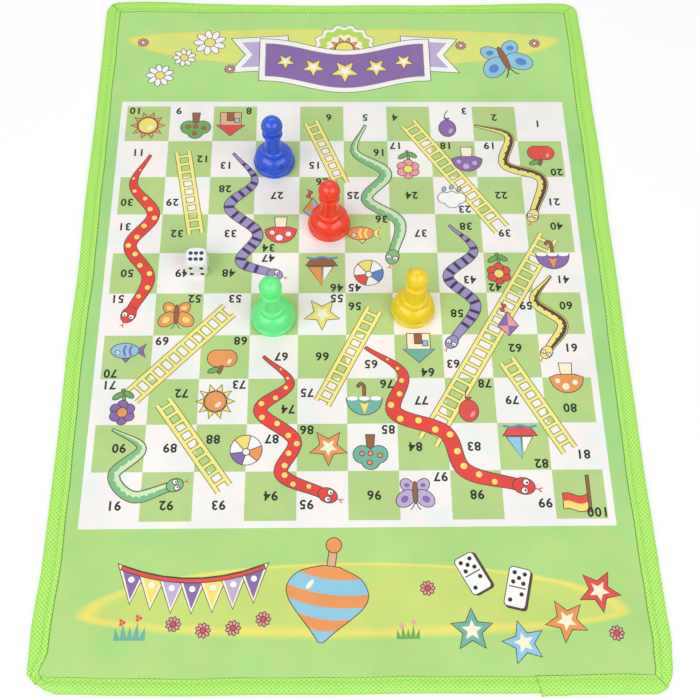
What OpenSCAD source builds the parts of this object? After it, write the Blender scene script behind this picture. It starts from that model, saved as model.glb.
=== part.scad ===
// A soft snakes and ladders mat with a bound edge, four pawns and a die, in millimetres.
// X runs to the right, Y away from the player and Z up. The origin is on the table,
// under the middle of the mat.

/* [Mat] */
// Overall width, across the bound edges
mat_w = 297; // [260:1:420]
// Overall length, across the bound edges
mat_l = 420; // [360:1:600]
// Printed top cloth, thickness
print_t = 0.5; // [0.3:0.05:1]
// Felt core, thickness where nothing presses it
core_t = 1.6; // [1:0.1:3]
// Plain cloth underneath, thickness
backing_t = 0.5; // [0.3:0.05:1]
// Margin from the outer edge to the printed squares, at the sides
side_margin = 20.3; // [14:0.1:30]
// Shift of the printed squares to the right of the mat's middle
grid_shift = -1.3; // [-5:0.1:5]
// Squares along each side of the printed grid
squares = 10; // [8:1:12]
// Length over which the underside rises onto the tape
rise_l = 1.2; // [0.6:0.1:3]

/* [Binding tape] */
// Thickness of the tape
tape_t = 0.45; // [0.25:0.05:0.7]
// Width of the tape on top, from the outer edge
tape_top_w = 7.6; // [5:0.1:12]
// Extra width of the tape underneath, so that the seam catches it
tape_under_extra = 0.6; // [0:0.1:2]
// Rounding of the tape's inner corner
tape_corner_r = 0.4; // [0.2:0.1:2]
// Room between the mat's cut edge and the tape round it
tape_ease = 0.1; // [0.05:0.05:0.4]
// Distance of the lapped end from the right edge of the mat
lap_from_right = 61; // [30:1:120]
// Length of the lap
lap_l = 9; // [5:0.5:20]
// Length over which the lapped end climbs
lap_climb = 2; // [1:0.5:4]

/* [Pawns] */
// Foot radius
foot_r = 11.9; // [10:0.1:14]
// Foot height
foot_h = 2.6; // [1.8:0.1:4]
// Rounding of the foot's edges
foot_edge_r = 0.7; // [0.3:0.1:0.9]
// Dome radius at the foot
dome_r = 11.3; // [9.5:0.1:13]
// Dome radius at its top
dome_top_r = 8.7; // [8:0.1:9.4]
// Dome height
dome_h = 6.2; // [4:0.1:8]
// Shoulder radius on the dome
shoulder_r = 8; // [7.2:0.1:8.6]
// Shoulder radius under the neck
shoulder_top_r = 6.6; // [6:0.1:7]
// Shoulder height
shoulder_h = 3.5; // [2.4:0.1:5]
// Neck radius at the shoulder
neck_foot_r = 6.2; // [4.8:0.1:6.5]
// Neck radius under the collar
neck_r = 4.1; // [3.4:0.1:4.5]
// Neck height
neck_h = 13.6; // [10:0.1:17]
// Collar radius
collar_r = 5.6; // [5:0.1:7]
// Height of the flare under the collar
collar_flare_h = 0.8; // [0.5:0.1:2]
// Thickness of the collar's rim
collar_rim_t = 0.9; // [0.7:0.1:1.5]
// Rounding of the collar's rim
collar_edge_r = 0.3; // [0.1:0.05:0.34]
// Radius of the short stem between collar and head
stem_r = 4.4; // [3.4:0.1:5]
// Height of that stem
stem_h = 1.5; // [0.8:0.1:3]
// Head radius
head_r = 6; // [5:0.1:7]
// Wall of the hollow underside
pawn_wall = 1.5; // [1:0.1:1.8]
// Solid length left above the hollow, in the neck
neck_plug = 4; // [2:0.5:8]

/* [Die] */
// Side of the cube
die_side = 12; // [11:0.5:16]
// Rounding of the edges
die_edge_r = 1.4; // [0.6:0.1:1.5]
// Length taken off each corner, along the diagonal
die_corner_cut = 2.1; // [1.4:0.1:2.6]
// Radius of a pip at the face
pip_r = 1.2; // [0.7:0.1:1.3]
// Depth of a pip
pip_depth = 0.4; // [0.2:0.05:0.6]
// Distance from one pip to the next across a face
pip_spacing = 2.9; // [2.7:0.1:3.1]
// Distance between the two rows of the six
six_row_gap = 3.8; // [2.8:0.1:4.6]

/* [Places on the board, in squares right of the far left corner and in front of it] */
// Blue pawn
blue_square = [3.43, 1.6]; // [0.5:0.01:9.5]
// Red pawn
red_square = [4.66, 3.28]; // [0.5:0.01:9.5]
// Green pawn
green_square = [3.48, 5.6]; // [0.5:0.01:9.5]
// Yellow pawn
yellow_square = [6.41, 5.42]; // [0.5:0.01:9.5]
// Die
die_square = [1.85, 4.36]; // [0.5:0.01:9.5]

/* [Hidden] */
$fn = 96;

// Levels through the mat
print_z = backing_t + core_t;
top_z = print_z + print_t;

// The tape folds round the pressed edge in a half round
fold_in_r = (top_z - tape_t) / 2;
fold_out_r = fold_in_r + tape_t;
tape_under_w = tape_top_w + tape_under_extra;
corner_r = tape_under_w + tape_corner_r;
side_run = mat_l - 2 * corner_r;
end_run = mat_w - 2 * corner_r;

// Cut size of the layers inside the tape
sheet_w = mat_w - 2 * (fold_out_r + tape_ease);
sheet_l = mat_l - 2 * (fold_out_r + tape_ease);
sheet_corner_r = corner_r - fold_out_r - tape_ease;
flat_w = mat_w - 2 * (tape_under_w + tape_corner_r + rise_l);
flat_l = mat_l - 2 * (tape_under_w + tape_corner_r + rise_l);

// The lap, measured along the front edge from its middle
lap_end = mat_w / 2 - lap_from_right;
lap_start = lap_end + lap_l;

square_w = (mat_w - 2 * side_margin) / squares;

// Levels up a pawn
dome_z = foot_h;
shoulder_z = dome_z + dome_h;
neck_z = shoulder_z + shoulder_h;
collar_z = neck_z + neck_h;
stem_z = collar_z + collar_flare_h + collar_rim_t;
head_z = stem_z + stem_h + sqrt(head_r * head_r - stem_r * stem_r);

// Height of the centre of a ball that passes through radius r1 at z1 and radius r2 at z2
function ball_z(r1, z1, r2, z2) = (r2 * r2 + z2 * z2 - r1 * r1 - z1 * z1) / (2 * (z2 - z1));

// Radius of an arc that turns tangent at one end and moves by across over a length of along
function arc_r(across, along) = (across * across + along * along) / (2 * across);

// Middle of a place given in squares from the far left corner
function place(spot) =
  [(spot.x - squares / 2) * square_w + grid_shift, (squares / 2 - spot.y) * square_w, top_z];

// Pips of a face, in steps of one spacing, with the rows of the six along the first direction
function pips(count) =
    count == 1 ? [[0, 0]] :
    count == 2 ? [[-1, 1], [1, -1]] :
    count == 3 ? concat(pips(1), pips(2)) :
    count == 4 ? [for (u = [-1, 1], v = [-1, 1]) [u, v]] :
    count == 5 ? concat(pips(1), pips(4)) :
    [for (u = [-1:1], v = [-1, 1]) [u, v * six_row_gap / (2 * pip_spacing)]];

// A rectangle about the middle, with round corners
module round_rectangle(w, l, r) {
    square([w - 2 * r, l], center = true);
    square([w, l - 2 * r], center = true);
    for (x = [-1, 1], y = [-1, 1])
        translate([x * (w / 2 - r), y * (l / 2 - r)]) circle(r);
}

// Section through a layer whose underside rises onto the tape at both edges
module pressed_section(flat, full, low, high) {
    polygon([
        [-full / 2, low + tape_t], [-flat / 2 - rise_l, low + tape_t], [-flat / 2, low],
        [flat / 2, low], [flat / 2 + rise_l, low + tape_t], [full / 2, low + tape_t],
        [full / 2, high], [-full / 2, high]
    ]);
}

// A layer that lies flat in the middle and rises onto the tape all round
module pressed_layer(low, high) {
    intersection() {
        rotate([90, 0, 0])
            linear_extrude(mat_l, center = true) pressed_section(flat_w, mat_w, low, high);
        rotate([90, 0, 90])
            linear_extrude(mat_w, center = true) pressed_section(flat_l, mat_l, low, high);
        linear_extrude(2 * top_z) round_rectangle(sheet_w, sheet_l, sheet_corner_r);
    }
}

module printed_sheet() {
    color("honeydew")
        translate([0, 0, print_z])
            linear_extrude(print_t) round_rectangle(sheet_w, sheet_l, sheet_corner_r);
}

module core() {
    color("whitesmoke") pressed_layer(backing_t, print_z);
}

module backing_sheet() {
    color("yellowgreen")
        difference() {
            pressed_layer(0, print_z);
            pressed_layer(backing_t, top_z);
        }
}

// Half ring round the fold's centre line, in the section's plane
module fold_ring(inner_r, outer_r) {
    translate([corner_r - fold_out_r, fold_out_r])
        intersection() {
            difference() {
                circle(outer_r);
                circle(inner_r);
            }
            translate([0, -outer_r]) square([outer_r, 2 * outer_r]);
        }
}

// Section of the tape: a leaf on top, the fold round the edge and a leaf underneath
module tape_section() {
    translate([corner_r - tape_top_w, top_z]) square([tape_top_w - fold_out_r, tape_t]);
    translate([corner_r - tape_under_w, 0]) square([tape_under_w - fold_out_r, tape_t]);
    fold_ring(fold_in_r, fold_out_r);
}

// Section of the lapped end, which lies on the tape and stops at the table
module lap_section() {
    translate([corner_r - tape_top_w, top_z + tape_t]) square([tape_top_w - fold_out_r, tape_t]);
    intersection() {
        fold_ring(fold_out_r, fold_out_r + tape_t);
        translate([corner_r - fold_out_r, 0]) square([2 * fold_out_r, 3 * fold_out_r]);
    }
}

// A straight run of a section along Y, facing +X, from one end to the other
module run(from, to) {
    translate([0, to, 0]) rotate([90, 0, 0]) linear_extrude(to - from) children();
}

// The tape's turn from the end of a run to the mitre fold; way is 1 at the +Y end and -1 at the other
module half_corner(at, way) {
    translate([0, at, 0]) rotate_extrude(angle = 45 * way) tape_section();
}

// The tape along one whole edge, between two mitre folds
module edge_tape(length) {
    run(-length / 2, length / 2) tape_section();
    half_corner(length / 2, 1);
    half_corner(-length / 2, -1);
}

// Turns an edge that faces +X to face the given way, at its distance from the middle
module facing(angle, reach) {
    rotate([0, 0, angle]) translate([reach - corner_r, 0, 0]) children();
}

module binding_right() {
    color("limegreen") facing(0, mat_w / 2) edge_tape(side_run);
}

module binding_left() {
    color("limegreen") facing(180, mat_w / 2) edge_tape(side_run);
}

module binding_back() {
    color("limegreen") facing(90, mat_l / 2) edge_tape(end_run);
}

// The tape begins here, and its other end laps over it
module binding_front_left() {
    color("limegreen")
        facing(-90, mat_l / 2) {
            run(-end_run / 2, lap_start) tape_section();
            half_corner(-end_run / 2, -1);
        }
}

module binding_front_right() {
    color("limegreen")
        facing(-90, mat_l / 2) {
            run(lap_start, end_run / 2) tape_section();
            half_corner(end_run / 2, 1);
            run(lap_end, lap_start + lap_climb) lap_section();
        }
}

// Half section of a disc with round edges, from the axis outwards
module disc_section(r, z, h, edge_r) {
    translate([0, z]) {
        square([r - edge_r, h]);
        translate([0, edge_r]) square([r, h - 2 * edge_r]);
        for (level = [edge_r, h - edge_r])
            translate([r - edge_r, level]) circle(edge_r);
    }
}

// Half section of the slice of a ball between two levels; inset shrinks the ball
module ball_section(r1, z1, r2, z2, low, high, inset = 0) {
    centre = ball_z(r1, z1, r2, z2);
    intersection() {
        translate([0, centre]) circle(norm([r1, z1 - centre]) - inset);
        translate([0, low]) square([2 * max(r1, r2), high - low]);
    }
}

// Half section of the concave neck
module neck_section() {
    hollow_r = arc_r(neck_foot_r - neck_r, neck_h);
    difference() {
        translate([0, neck_z]) square([neck_foot_r, neck_h]);
        translate([neck_r + hollow_r, collar_z]) circle(hollow_r);
    }
}

module collar_section() {
    polygon([
        [0, collar_z], [neck_r, collar_z],
        [collar_r - collar_edge_r, collar_z + collar_flare_h + collar_edge_r],
        [0, collar_z + collar_flare_h + collar_edge_r]
    ]);
    disc_section(collar_r, collar_z + collar_flare_h, collar_rim_t, collar_edge_r);
}

module head_section() {
    translate([0, stem_z]) square([stem_r, head_z - stem_z]);
    intersection() {
        translate([0, head_z]) circle(head_r);
        translate([0, stem_z]) square([head_r, head_z + head_r - stem_z]);
    }
}

// Half section of the hollow that the mould's core leaves, open at the foot
module hollow_section() {
    roof = shoulder_z - pawn_wall;
    ball_section(dome_r, dome_z, dome_top_r, shoulder_z, 0, roof, pawn_wall);
    polygon([
        [0, 0], [neck_foot_r - pawn_wall, 0], [neck_foot_r - pawn_wall, roof],
        [neck_r - pawn_wall, collar_z - neck_plug], [0, collar_z - neck_plug]
    ]);
}

module pawn() {
    rotate_extrude()
        difference() {
            union() {
                disc_section(foot_r, 0, foot_h, foot_edge_r);
                ball_section(dome_r, dome_z, dome_top_r, shoulder_z, dome_z, shoulder_z);
                ball_section(shoulder_r, shoulder_z, shoulder_top_r, neck_z, shoulder_z, neck_z);
                neck_section();
                collar_section();
                head_section();
            }
            hollow_section();
        }
}

module pawn_blue() {
    color("royalblue") translate(place(blue_square)) pawn();
}

module pawn_red() {
    color("orangered") translate(place(red_square)) pawn();
}

module pawn_green() {
    color("lightgreen") translate(place(green_square)) pawn();
}

module pawn_yellow() {
    color("gold") translate(place(yellow_square)) pawn();
}

// Hollows of one face's pips; the face looks along +Z at half the cube's side
module face_pips(count) {
    ball_r = arc_r(pip_depth, pip_r);
    for (spot = pips(count))
        translate([spot.x * pip_spacing, spot.y * pip_spacing, die_side / 2 + ball_r - pip_depth])
            sphere(ball_r);
}

// Opposite faces add up to seven: six on top, four to the front and two to the right
module die() {
    rounding_ball_r = die_side * sqrt(3) / 2 - die_corner_cut;
    color("white")
        translate(place(die_square) + [0, 0, die_side / 2])
            difference() {
                intersection() {
                    intersection_for(turn = [[0, 0, 0], [90, 0, 0], [0, 90, 0]])
                        rotate(turn)
                            linear_extrude(die_side, center = true)
                                round_rectangle(die_side, die_side, die_edge_r);
                    sphere(rounding_ball_r);
                }
                face_pips(6);
                rotate([180, 0, 0]) face_pips(1);
                rotate([90, 0, 0]) face_pips(4);
                rotate([-90, 0, 0]) face_pips(3);
                rotate([0, 90, 0]) face_pips(2);
                rotate([0, -90, 0]) face_pips(5);
            }
}

printed_sheet();
core();
backing_sheet();
binding_front_left();
binding_front_right();
binding_right();
binding_back();
binding_left();
pawn_blue();
pawn_red();
pawn_green();
pawn_yellow();
die();
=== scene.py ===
"""Looks of a soft snakes and ladders mat with a bound edge, four pawns and a die, in millimetres."""

import logging
import math
from collections import Counter
from dataclasses import dataclass, field, replace
from enum import Enum
from typing import Callable, Iterable, Optional, Sequence, Union

import bpy
from mathutils import Matrix, Vector
from mathutils.geometry import delaunay_2d_cdt


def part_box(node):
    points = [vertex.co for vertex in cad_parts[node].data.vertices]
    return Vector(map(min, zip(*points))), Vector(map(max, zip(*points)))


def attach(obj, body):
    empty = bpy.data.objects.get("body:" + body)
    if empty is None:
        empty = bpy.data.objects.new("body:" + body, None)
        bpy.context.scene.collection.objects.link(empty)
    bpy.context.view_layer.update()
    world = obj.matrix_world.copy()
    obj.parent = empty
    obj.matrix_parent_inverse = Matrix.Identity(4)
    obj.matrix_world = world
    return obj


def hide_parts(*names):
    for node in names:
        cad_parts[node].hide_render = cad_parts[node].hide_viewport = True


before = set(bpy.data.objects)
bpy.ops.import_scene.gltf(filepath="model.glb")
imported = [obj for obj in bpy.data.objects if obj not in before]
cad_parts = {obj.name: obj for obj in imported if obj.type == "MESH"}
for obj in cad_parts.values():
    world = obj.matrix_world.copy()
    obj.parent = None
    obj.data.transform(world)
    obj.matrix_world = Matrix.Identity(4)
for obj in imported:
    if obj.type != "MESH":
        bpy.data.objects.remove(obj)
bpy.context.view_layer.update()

Point = tuple[float, float]
Triple = tuple[float, float, float]
Colour = tuple[float, float, float]
Linear = tuple[float, float, float, float]
Faces = list[tuple[int, ...]]
Section = list[tuple[float, float, float, float, float]]

MM = 0.001
TURN = 2 * math.pi
LIGHT = (1.0, 1.0, 1.0, 1.0)
LOG = logging.getLogger("mat")


class Ink(Enum):
    """Inks, cloths, plastics and paints, as 8-bit screen colours."""

    BORDER = (167, 219, 137)
    FAR_FIELD = (181, 228, 140)
    NEAR_FIELD = (179, 221, 134)
    PANEL = (248, 246, 244)
    PALE_SQUARE = (249, 246, 242)
    GREEN_SQUARE = (184, 214, 137)
    NUMBER = (40, 44, 40)
    LINE = (86, 66, 66)
    GLOW_RIM = (238, 231, 116)
    GLOW_FAR = (224, 235, 130)
    GLOW_NEAR = (203, 224, 122)
    LADDER = (247, 240, 146)
    LADDER_LINE = (138, 120, 48)
    RED_SNAKE = (229, 74, 66)
    GREEN_SNAKE = (132, 192, 132)
    GREEN_BELLY = (214, 236, 192)
    PURPLE_SNAKE = (160, 147, 197)
    PURPLE_BAND = (66, 58, 92)
    YELLOW_SNAKE = (244, 231, 132)
    DARK_BACK = (86, 70, 54)
    PURPLE = (142, 110, 174)
    LILAC = (196, 180, 218)
    ORANGE = (240, 156, 92)
    RED = (228, 86, 78)
    PINK = (240, 160, 170)
    SKY = (146, 204, 230)
    BLUE = (94, 142, 206)
    TEAL = (116, 184, 166)
    YELLOW = (247, 230, 122)
    CREAM = (253, 247, 218)
    BROWN = (154, 102, 70)
    TAN = (224, 184, 142)
    LEAF = (112, 174, 94)
    LIME = (190, 224, 96)
    WHITE = (253, 253, 251)
    TAPE_LIGHT = (190, 247, 128)
    TAPE_DEEP = (176, 238, 104)
    TAPE_DOT = (132, 205, 62)
    # Dark green of the painted shade along the tape's inner edge, seam furrow and mitres.
    TAPE_EDGE = (84, 158, 44)
    THREAD = (168, 226, 106)
    THREAD_LIGHT = (196, 244, 140)
    FELT = (236, 236, 230)
    FELT_DARK = (214, 214, 206)
    BACKING = (238, 240, 236)
    BACKING_DARK = (226, 229, 224)
    BACKING_POINT = (208, 213, 206)
    BLUE_PLASTIC = (26, 86, 224)
    RED_PLASTIC = (255, 57, 24)
    GREEN_PLASTIC = (106, 255, 146)
    YELLOW_PLASTIC = (255, 219, 4)
    DIE_PLASTIC = (244, 246, 245)
    DIE_SCUFF = (232, 236, 236)
    NAVY_PAINT = (28, 34, 78)
    MAROON_PAINT = (34, 6, 8)
    FLOOR = (252, 252, 252)


def linear(colour: Union[Ink, Colour]) -> Linear:
    """Turns a screen colour into a linear one.

    Args:
        colour: An ink, or red, green and blue from 0 to 255.

    Returns:
        Linear red, green and blue, with an alpha of 1.
    """
    shares = [value / 255 for value in getattr(colour, "value", colour)]
    parts = [s / 12.92 if s <= 0.04045 else ((s + 0.055) / 1.055) ** 2.4 for s in shares]
    return (*parts, 1.0)


def blended(first: Colour, second: Colour, share: float) -> Colour:
    """Mixes two screen colours, from the first at a share of 0 to the second at 1."""
    return tuple(a + (b - a) * share for a, b in zip(first, second))


def smooth_step(low: float, high: float, value: float) -> float:
    """Rises smoothly from 0 at low to 1 at high, which may lie below low."""
    share = min(1.0, max(0.0, (value - low) / (high - low)))
    return share * share * (3 - 2 * share)


def infix(operation: str, swapped: bool = False) -> Callable[["Wire", "Operand"], "Wire"]:
    """Makes an operator of Wire that adds a Math node.

    Args:
        operation: The node's operation.
        swapped: Whether it is a reflected operator, whose own wire comes second.

    Returns:
        The operator.
    """

    def combine(wire: "Wire", other: "Operand") -> "Wire":
        """Adds the node."""
        return wire.nodes.math(operation, *((other, wire) if swapped else (wire, other)))

    return combine


class Wire:
    """An output of a node, with arithmetic that adds Math nodes."""

    __add__, __radd__ = infix("ADD"), infix("ADD", True)
    __sub__, __rsub__ = infix("SUBTRACT"), infix("SUBTRACT", True)
    __mul__, __rmul__ = infix("MULTIPLY"), infix("MULTIPLY", True)
    __lt__ = infix("LESS_THAN")
    least, most = infix("MINIMUM"), infix("MAXIMUM")

    def __init__(self, nodes: "Nodes", socket: bpy.types.NodeSocket) -> None:
        """Keeps the node tree and the socket."""
        self.nodes, self.socket = nodes, socket

    def __abs__(self) -> "Wire":
        """Drops the sign."""
        return self.nodes.math("ABSOLUTE", self)

    def cosine(self) -> "Wire":
        """Gives the cosine."""
        return self.nodes.math("COSINE", self)

    def rise(self, low: float, high: float) -> "Wire":
        """Rises smoothly from 0 at low to 1 at high."""
        sockets = {"Value": self, "From Min": low, "From Max": high}
        return self.nodes.node("ShaderNodeMapRange", {"interpolation_type": "SMOOTHSTEP"}, sockets, "Result")


Operand = Union[Wire, float]
Tint = Union[Wire, Ink, Linear]


class Nodes:
    """The node tree of one material, or of the world."""

    def __init__(self, name: str, world: Optional[bpy.types.World] = None) -> None:
        """Starts an empty tree.

        Args:
            name: The name of a new material.
            world: The world that has the tree, where it isn't a new material's.
        """
        self.owner = world or bpy.data.materials.new(name)
        self.owner.use_nodes = True
        self.tree = self.owner.node_tree
        self.tree.nodes.clear()

    @staticmethod
    def pick(sockets: Iterable[bpy.types.NodeSocket], key: Union[int, str]) -> bpy.types.NodeSocket:
        """Finds a socket in use, by its name or by its number among those in use."""
        used = [socket for socket in sockets if socket.enabled]
        return used[key] if isinstance(key, int) else next(socket for socket in used if socket.name == key)

    def node(
        self,
        kind: str,
        settings: Optional[dict] = None,
        sockets: Optional[dict] = None,
        output: Union[int, str] = 0,
    ) -> Optional[Wire]:
        """Adds a node.

        Args:
            kind: The node's type.
            settings: Its properties, which are set first.
            sockets: A value or a wire for each input that isn't left as it is.
            output: The output wanted, by name or number.

        Returns:
            That output, if the node has any.
        """
        node = self.tree.nodes.new(kind)
        for name, value in (settings or {}).items():
            setattr(node, name, value)
        for key, value in (sockets or {}).items():
            socket = self.pick(node.inputs, key)
            if isinstance(value, Wire):
                self.tree.links.new(value.socket, socket)
            else:
                socket.default_value = value
        return Wire(self, self.pick(node.outputs, output)) if node.outputs else None

    def shown(self) -> Wire:
        """Gives 1 where a ray shows the background to the camera, and 0 where it only brings light.

        Returns:
            The value, for a floor or a world that looks brighter than it shines.
        """
        kinds = "Is Camera Ray", "Is Glossy Ray", "Is Transmission Ray"
        seen, mirrored, through = [self.node("ShaderNodeLightPath", output=kind) for kind in kinds]
        return seen.most(mirrored).most(through)

    def math(self, operation: str, *values: Operand) -> Wire:
        """Adds a Math node with its inputs in order."""
        return self.node("ShaderNodeMath", {"operation": operation}, dict(enumerate(values)))

    def mix(self, share: Operand, first: Tint, second: Tint) -> Wire:
        """Mixes two colours.

        Args:
            share: 0 for the first colour, 1 for the second.
            first: An ink, a linear colour or a wire.
            second: The same for the other colour.

        Returns:
            The mixed colour.
        """
        ends = [linear(tint) if isinstance(tint, Ink) else tint for tint in (first, second)]
        sockets = {0: share, "A": ends[0], "B": ends[1]}
        return self.node("ShaderNodeMix", {"data_type": "RGBA"}, sockets, "Result")

    def place(self) -> Wire:
        """Gives the point on the piece, in metres."""
        return self.node("ShaderNodeTexCoord", output="Object")

    def parts(self, vector: Wire) -> tuple[Wire, Wire, Wire]:
        """Splits a vector into its three parts."""
        outputs = self.node("ShaderNodeSeparateXYZ", {}, {0: vector}).socket.node.outputs
        return tuple(Wire(self, output) for output in outputs)

    def noise(self, size: float, detail: float = 2.0, stretch: Triple = (1.0, 1.0, 1.0)) -> Wire:
        """Adds noise in the piece's own space.

        Args:
            size: Width of its largest lumps, in millimetres.
            detail: How many finer layers are added.
            stretch: Scale of the three directions.

        Returns:
            A value about 0.5.
        """
        place = self.node("ShaderNodeMapping", {}, {"Vector": self.place(), "Scale": stretch})
        sockets = {"Vector": place, "Scale": 1 / (size * MM), "Detail": detail}
        return self.node("ShaderNodeTexNoise", {}, sockets)

    def bump(self, height: Wire, depth: float, strength: float = 1.0) -> Wire:
        """Bends the normal by a height, of which 1 stands for the depth in millimetres."""
        sockets = {"Height": height, "Distance": depth * MM, "Strength": strength}
        return self.node("ShaderNodeBump", {}, sockets)

    def attribute(self, name: str, output: str) -> Wire:
        """Reads an attribute that the mesh carries."""
        return self.node("ShaderNodeAttribute", {"attribute_name": name}, {}, output)

    def surface(self, sockets: dict) -> bpy.types.Material:
        """Closes the tree with a Principled shader.

        Args:
            sockets: Values and wires of the shader's inputs.

        Returns:
            The finished material.
        """
        shader = self.node("ShaderNodeBsdfPrincipled", {}, sockets)
        self.node("ShaderNodeOutputMaterial", {}, {"Surface": shader})
        return self.owner


@dataclass(frozen=True)
class PrintedCloth:
    """Smooth non-woven cloth that carries the print, with faint fibres and blotches of ink."""

    fibre: float = 0.55
    grain: float = 2.6
    blotch: float = 38.0
    petal: float = 13.0
    ground: float = 0.84
    fibre_shade: float = 0.05
    blotch_shade: float = 0.22
    warmth: float = 0.3

    def material(self) -> bpy.types.Material:
        """Makes the material.

        Returns:
            The finished material.
        """
        nodes = Nodes("printed_cloth")
        fibres = nodes.noise(self.fibre, 3.0, (1.0, self.grain, 1.0))
        cross = nodes.noise(self.fibre, 3.0, (self.grain, 1.0, 1.0))
        threads = fibres + cross
        shade = self.ground + self.fibre_shade * threads + self.blotch_shade * nodes.noise(self.blotch)
        warm = shade + self.warmth * (nodes.noise(self.petal, 1.0) - 0.5)
        tone = nodes.node("ShaderNodeCombineXYZ", {}, {0: warm, 1: shade, 2: shade})
        ink = nodes.attribute("ink", "Color")
        return nodes.surface({
            "Base Color": nodes.node("ShaderNodeVectorMath", {"operation": "MULTIPLY"}, {0: ink, 1: tone}),
            "Roughness": 0.62 + 0.2 * fibres,
            "Specular IOR Level": 0.3,
            "Normal": nodes.bump(threads, 0.05, 0.5),
        })


@dataclass(frozen=True)
class EmbossedTape:
    """Spunbond binding tape, pressed with a staggered lattice of small dots, with painted shade along its
    inner edge, its seam's furrow and its mitres.
    """

    pitch_along: float = 2.27
    pitch_across: float = 1.96
    pressed: Point = (0.1, 0.8)
    tinted: Point = (0.2, 0.75)
    fibre: float = 0.5
    cloud: float = 9.0

    def lattice(self, along: float, across: float) -> float:
        """Gives how far a point lies in a pressed dot, 0 between the dots and 1 in the middle of one."""
        wave = math.cos(TURN * along / self.pitch_along) * math.cos(TURN * across / self.pitch_across)
        return smooth_step(*self.pressed, wave)

    def material(self) -> bpy.types.Material:
        """Makes the material.

        Returns:
            The finished material.
        """
        nodes = Nodes("embossed_tape")
        along = nodes.attribute("along", "Fac") * (TURN / self.pitch_along)
        across = nodes.attribute("across", "Fac") * (TURN / self.pitch_across)
        dots = (along.cosine() * across.cosine()).rise(*self.tinted)
        fibres, cloudy = nodes.noise(self.fibre, 3.0), nodes.noise(self.cloud)
        plain = nodes.mix(0.4 * fibres + 0.5 * cloudy, Ink.TAPE_LIGHT, Ink.TAPE_DEEP)
        dotted = nodes.mix(dots, plain, Ink.TAPE_DOT)
        return nodes.surface({
            # Painted shade: the base colour darkens, by a mesh attribute, along the inner cut edge, the
            # seam's furrow and the mitres.
            "Base Color": nodes.mix(nodes.attribute("painted_shade", "Fac"), dotted, Ink.TAPE_EDGE),
            "Roughness": 0.72 - 0.22 * dots,
            "Specular IOR Level": 0.35,
            "Normal": nodes.bump(fibres, 0.08, 0.5),
        })


@dataclass(frozen=True)
class Fibrous:
    """A fibrous finish in two tints, mottled by one noise."""

    name: str
    light: Ink
    dark: Ink
    lump: float
    detail: float
    stretch: Triple
    roughness: float
    spread: float
    depth: float

    def material(self) -> bpy.types.Material:
        """Makes the material.

        Returns:
            The finished material.
        """
        nodes = Nodes(self.name)
        lumps = nodes.noise(self.lump, self.detail, self.stretch)
        return nodes.surface({
            "Base Color": nodes.mix(lumps, self.light, self.dark),
            "Roughness": self.roughness + self.spread * lumps,
            "Normal": nodes.bump(lumps, self.depth),
        })


NEEDLED_FELT = Fibrous("needled_felt", Ink.FELT, Ink.FELT_DARK, 1.6, 5.0, (1.0, 1.0, 1.0), 0.9, 0.1, 0.3)
SEWING_THREAD = Fibrous(
    "sewing_thread", Ink.THREAD, Ink.THREAD_LIGHT, 0.6, 1.0, (1.0, 1.0, 0.3), 0.45, 0.2, 0.05
)


@dataclass(frozen=True)
class BackingCloth:
    """Plain spunbond cloth underneath, with its grid of pressed points."""

    pitch: float = 1.5
    pressed: Point = (0.2, 0.8)
    fibre: float = 0.6

    def material(self) -> bpy.types.Material:
        """Makes the material.

        Returns:
            The finished material.
        """
        nodes = Nodes("backing_cloth")
        x, y, _ = nodes.parts(nodes.place())
        turn = TURN / (self.pitch * MM)
        points = ((x * turn).cosine() * (y * turn).cosine()).rise(*self.pressed)
        fibres = nodes.noise(self.fibre, 3.0)
        plain = nodes.mix(fibres, Ink.BACKING, Ink.BACKING_DARK)
        return nodes.surface({
            "Base Color": nodes.mix(points, plain, Ink.BACKING_POINT),
            "Roughness": 0.8 - 0.25 * points,
            "Normal": nodes.bump(fibres - points, 0.12),
        })


@dataclass(frozen=True)
class GlossPlastic:
    """Moulded glossy plastic with flow marks and the mould's parting line. Its axis is given in metres."""

    name: str
    ink: Ink
    axis_y: float
    milky: float
    flow_size: float = 7.0
    parting_half: float = 0.09
    depth_of_tint: float = 0.9

    def material(self) -> bpy.types.Material:
        """Makes the material.

        Returns:
            The finished material.
        """
        nodes = Nodes(self.name)
        _, y, _ = nodes.parts(nodes.place())
        parting = abs(y - self.axis_y).rise(self.parting_half * MM, self.parting_half * MM / 3)
        flow = nodes.noise(self.flow_size, 2.0, (1.0, 1.0, 0.4))
        deep = linear(tuple(self.depth_of_tint * value for value in self.ink.value))
        return nodes.surface({
            "Base Color": nodes.mix(0.4 * flow, self.ink, deep),
            "Roughness": 0.14 + 0.08 * flow + 0.1 * parting,
            "IOR": 1.5,
            "Subsurface Weight": self.milky,
            "Subsurface Radius": (1.0, 1.0, 1.0),
            "Subsurface Scale": 5.0 * MM,
            "Normal": nodes.bump(flow, 0.01, 0.25),
        })


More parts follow.
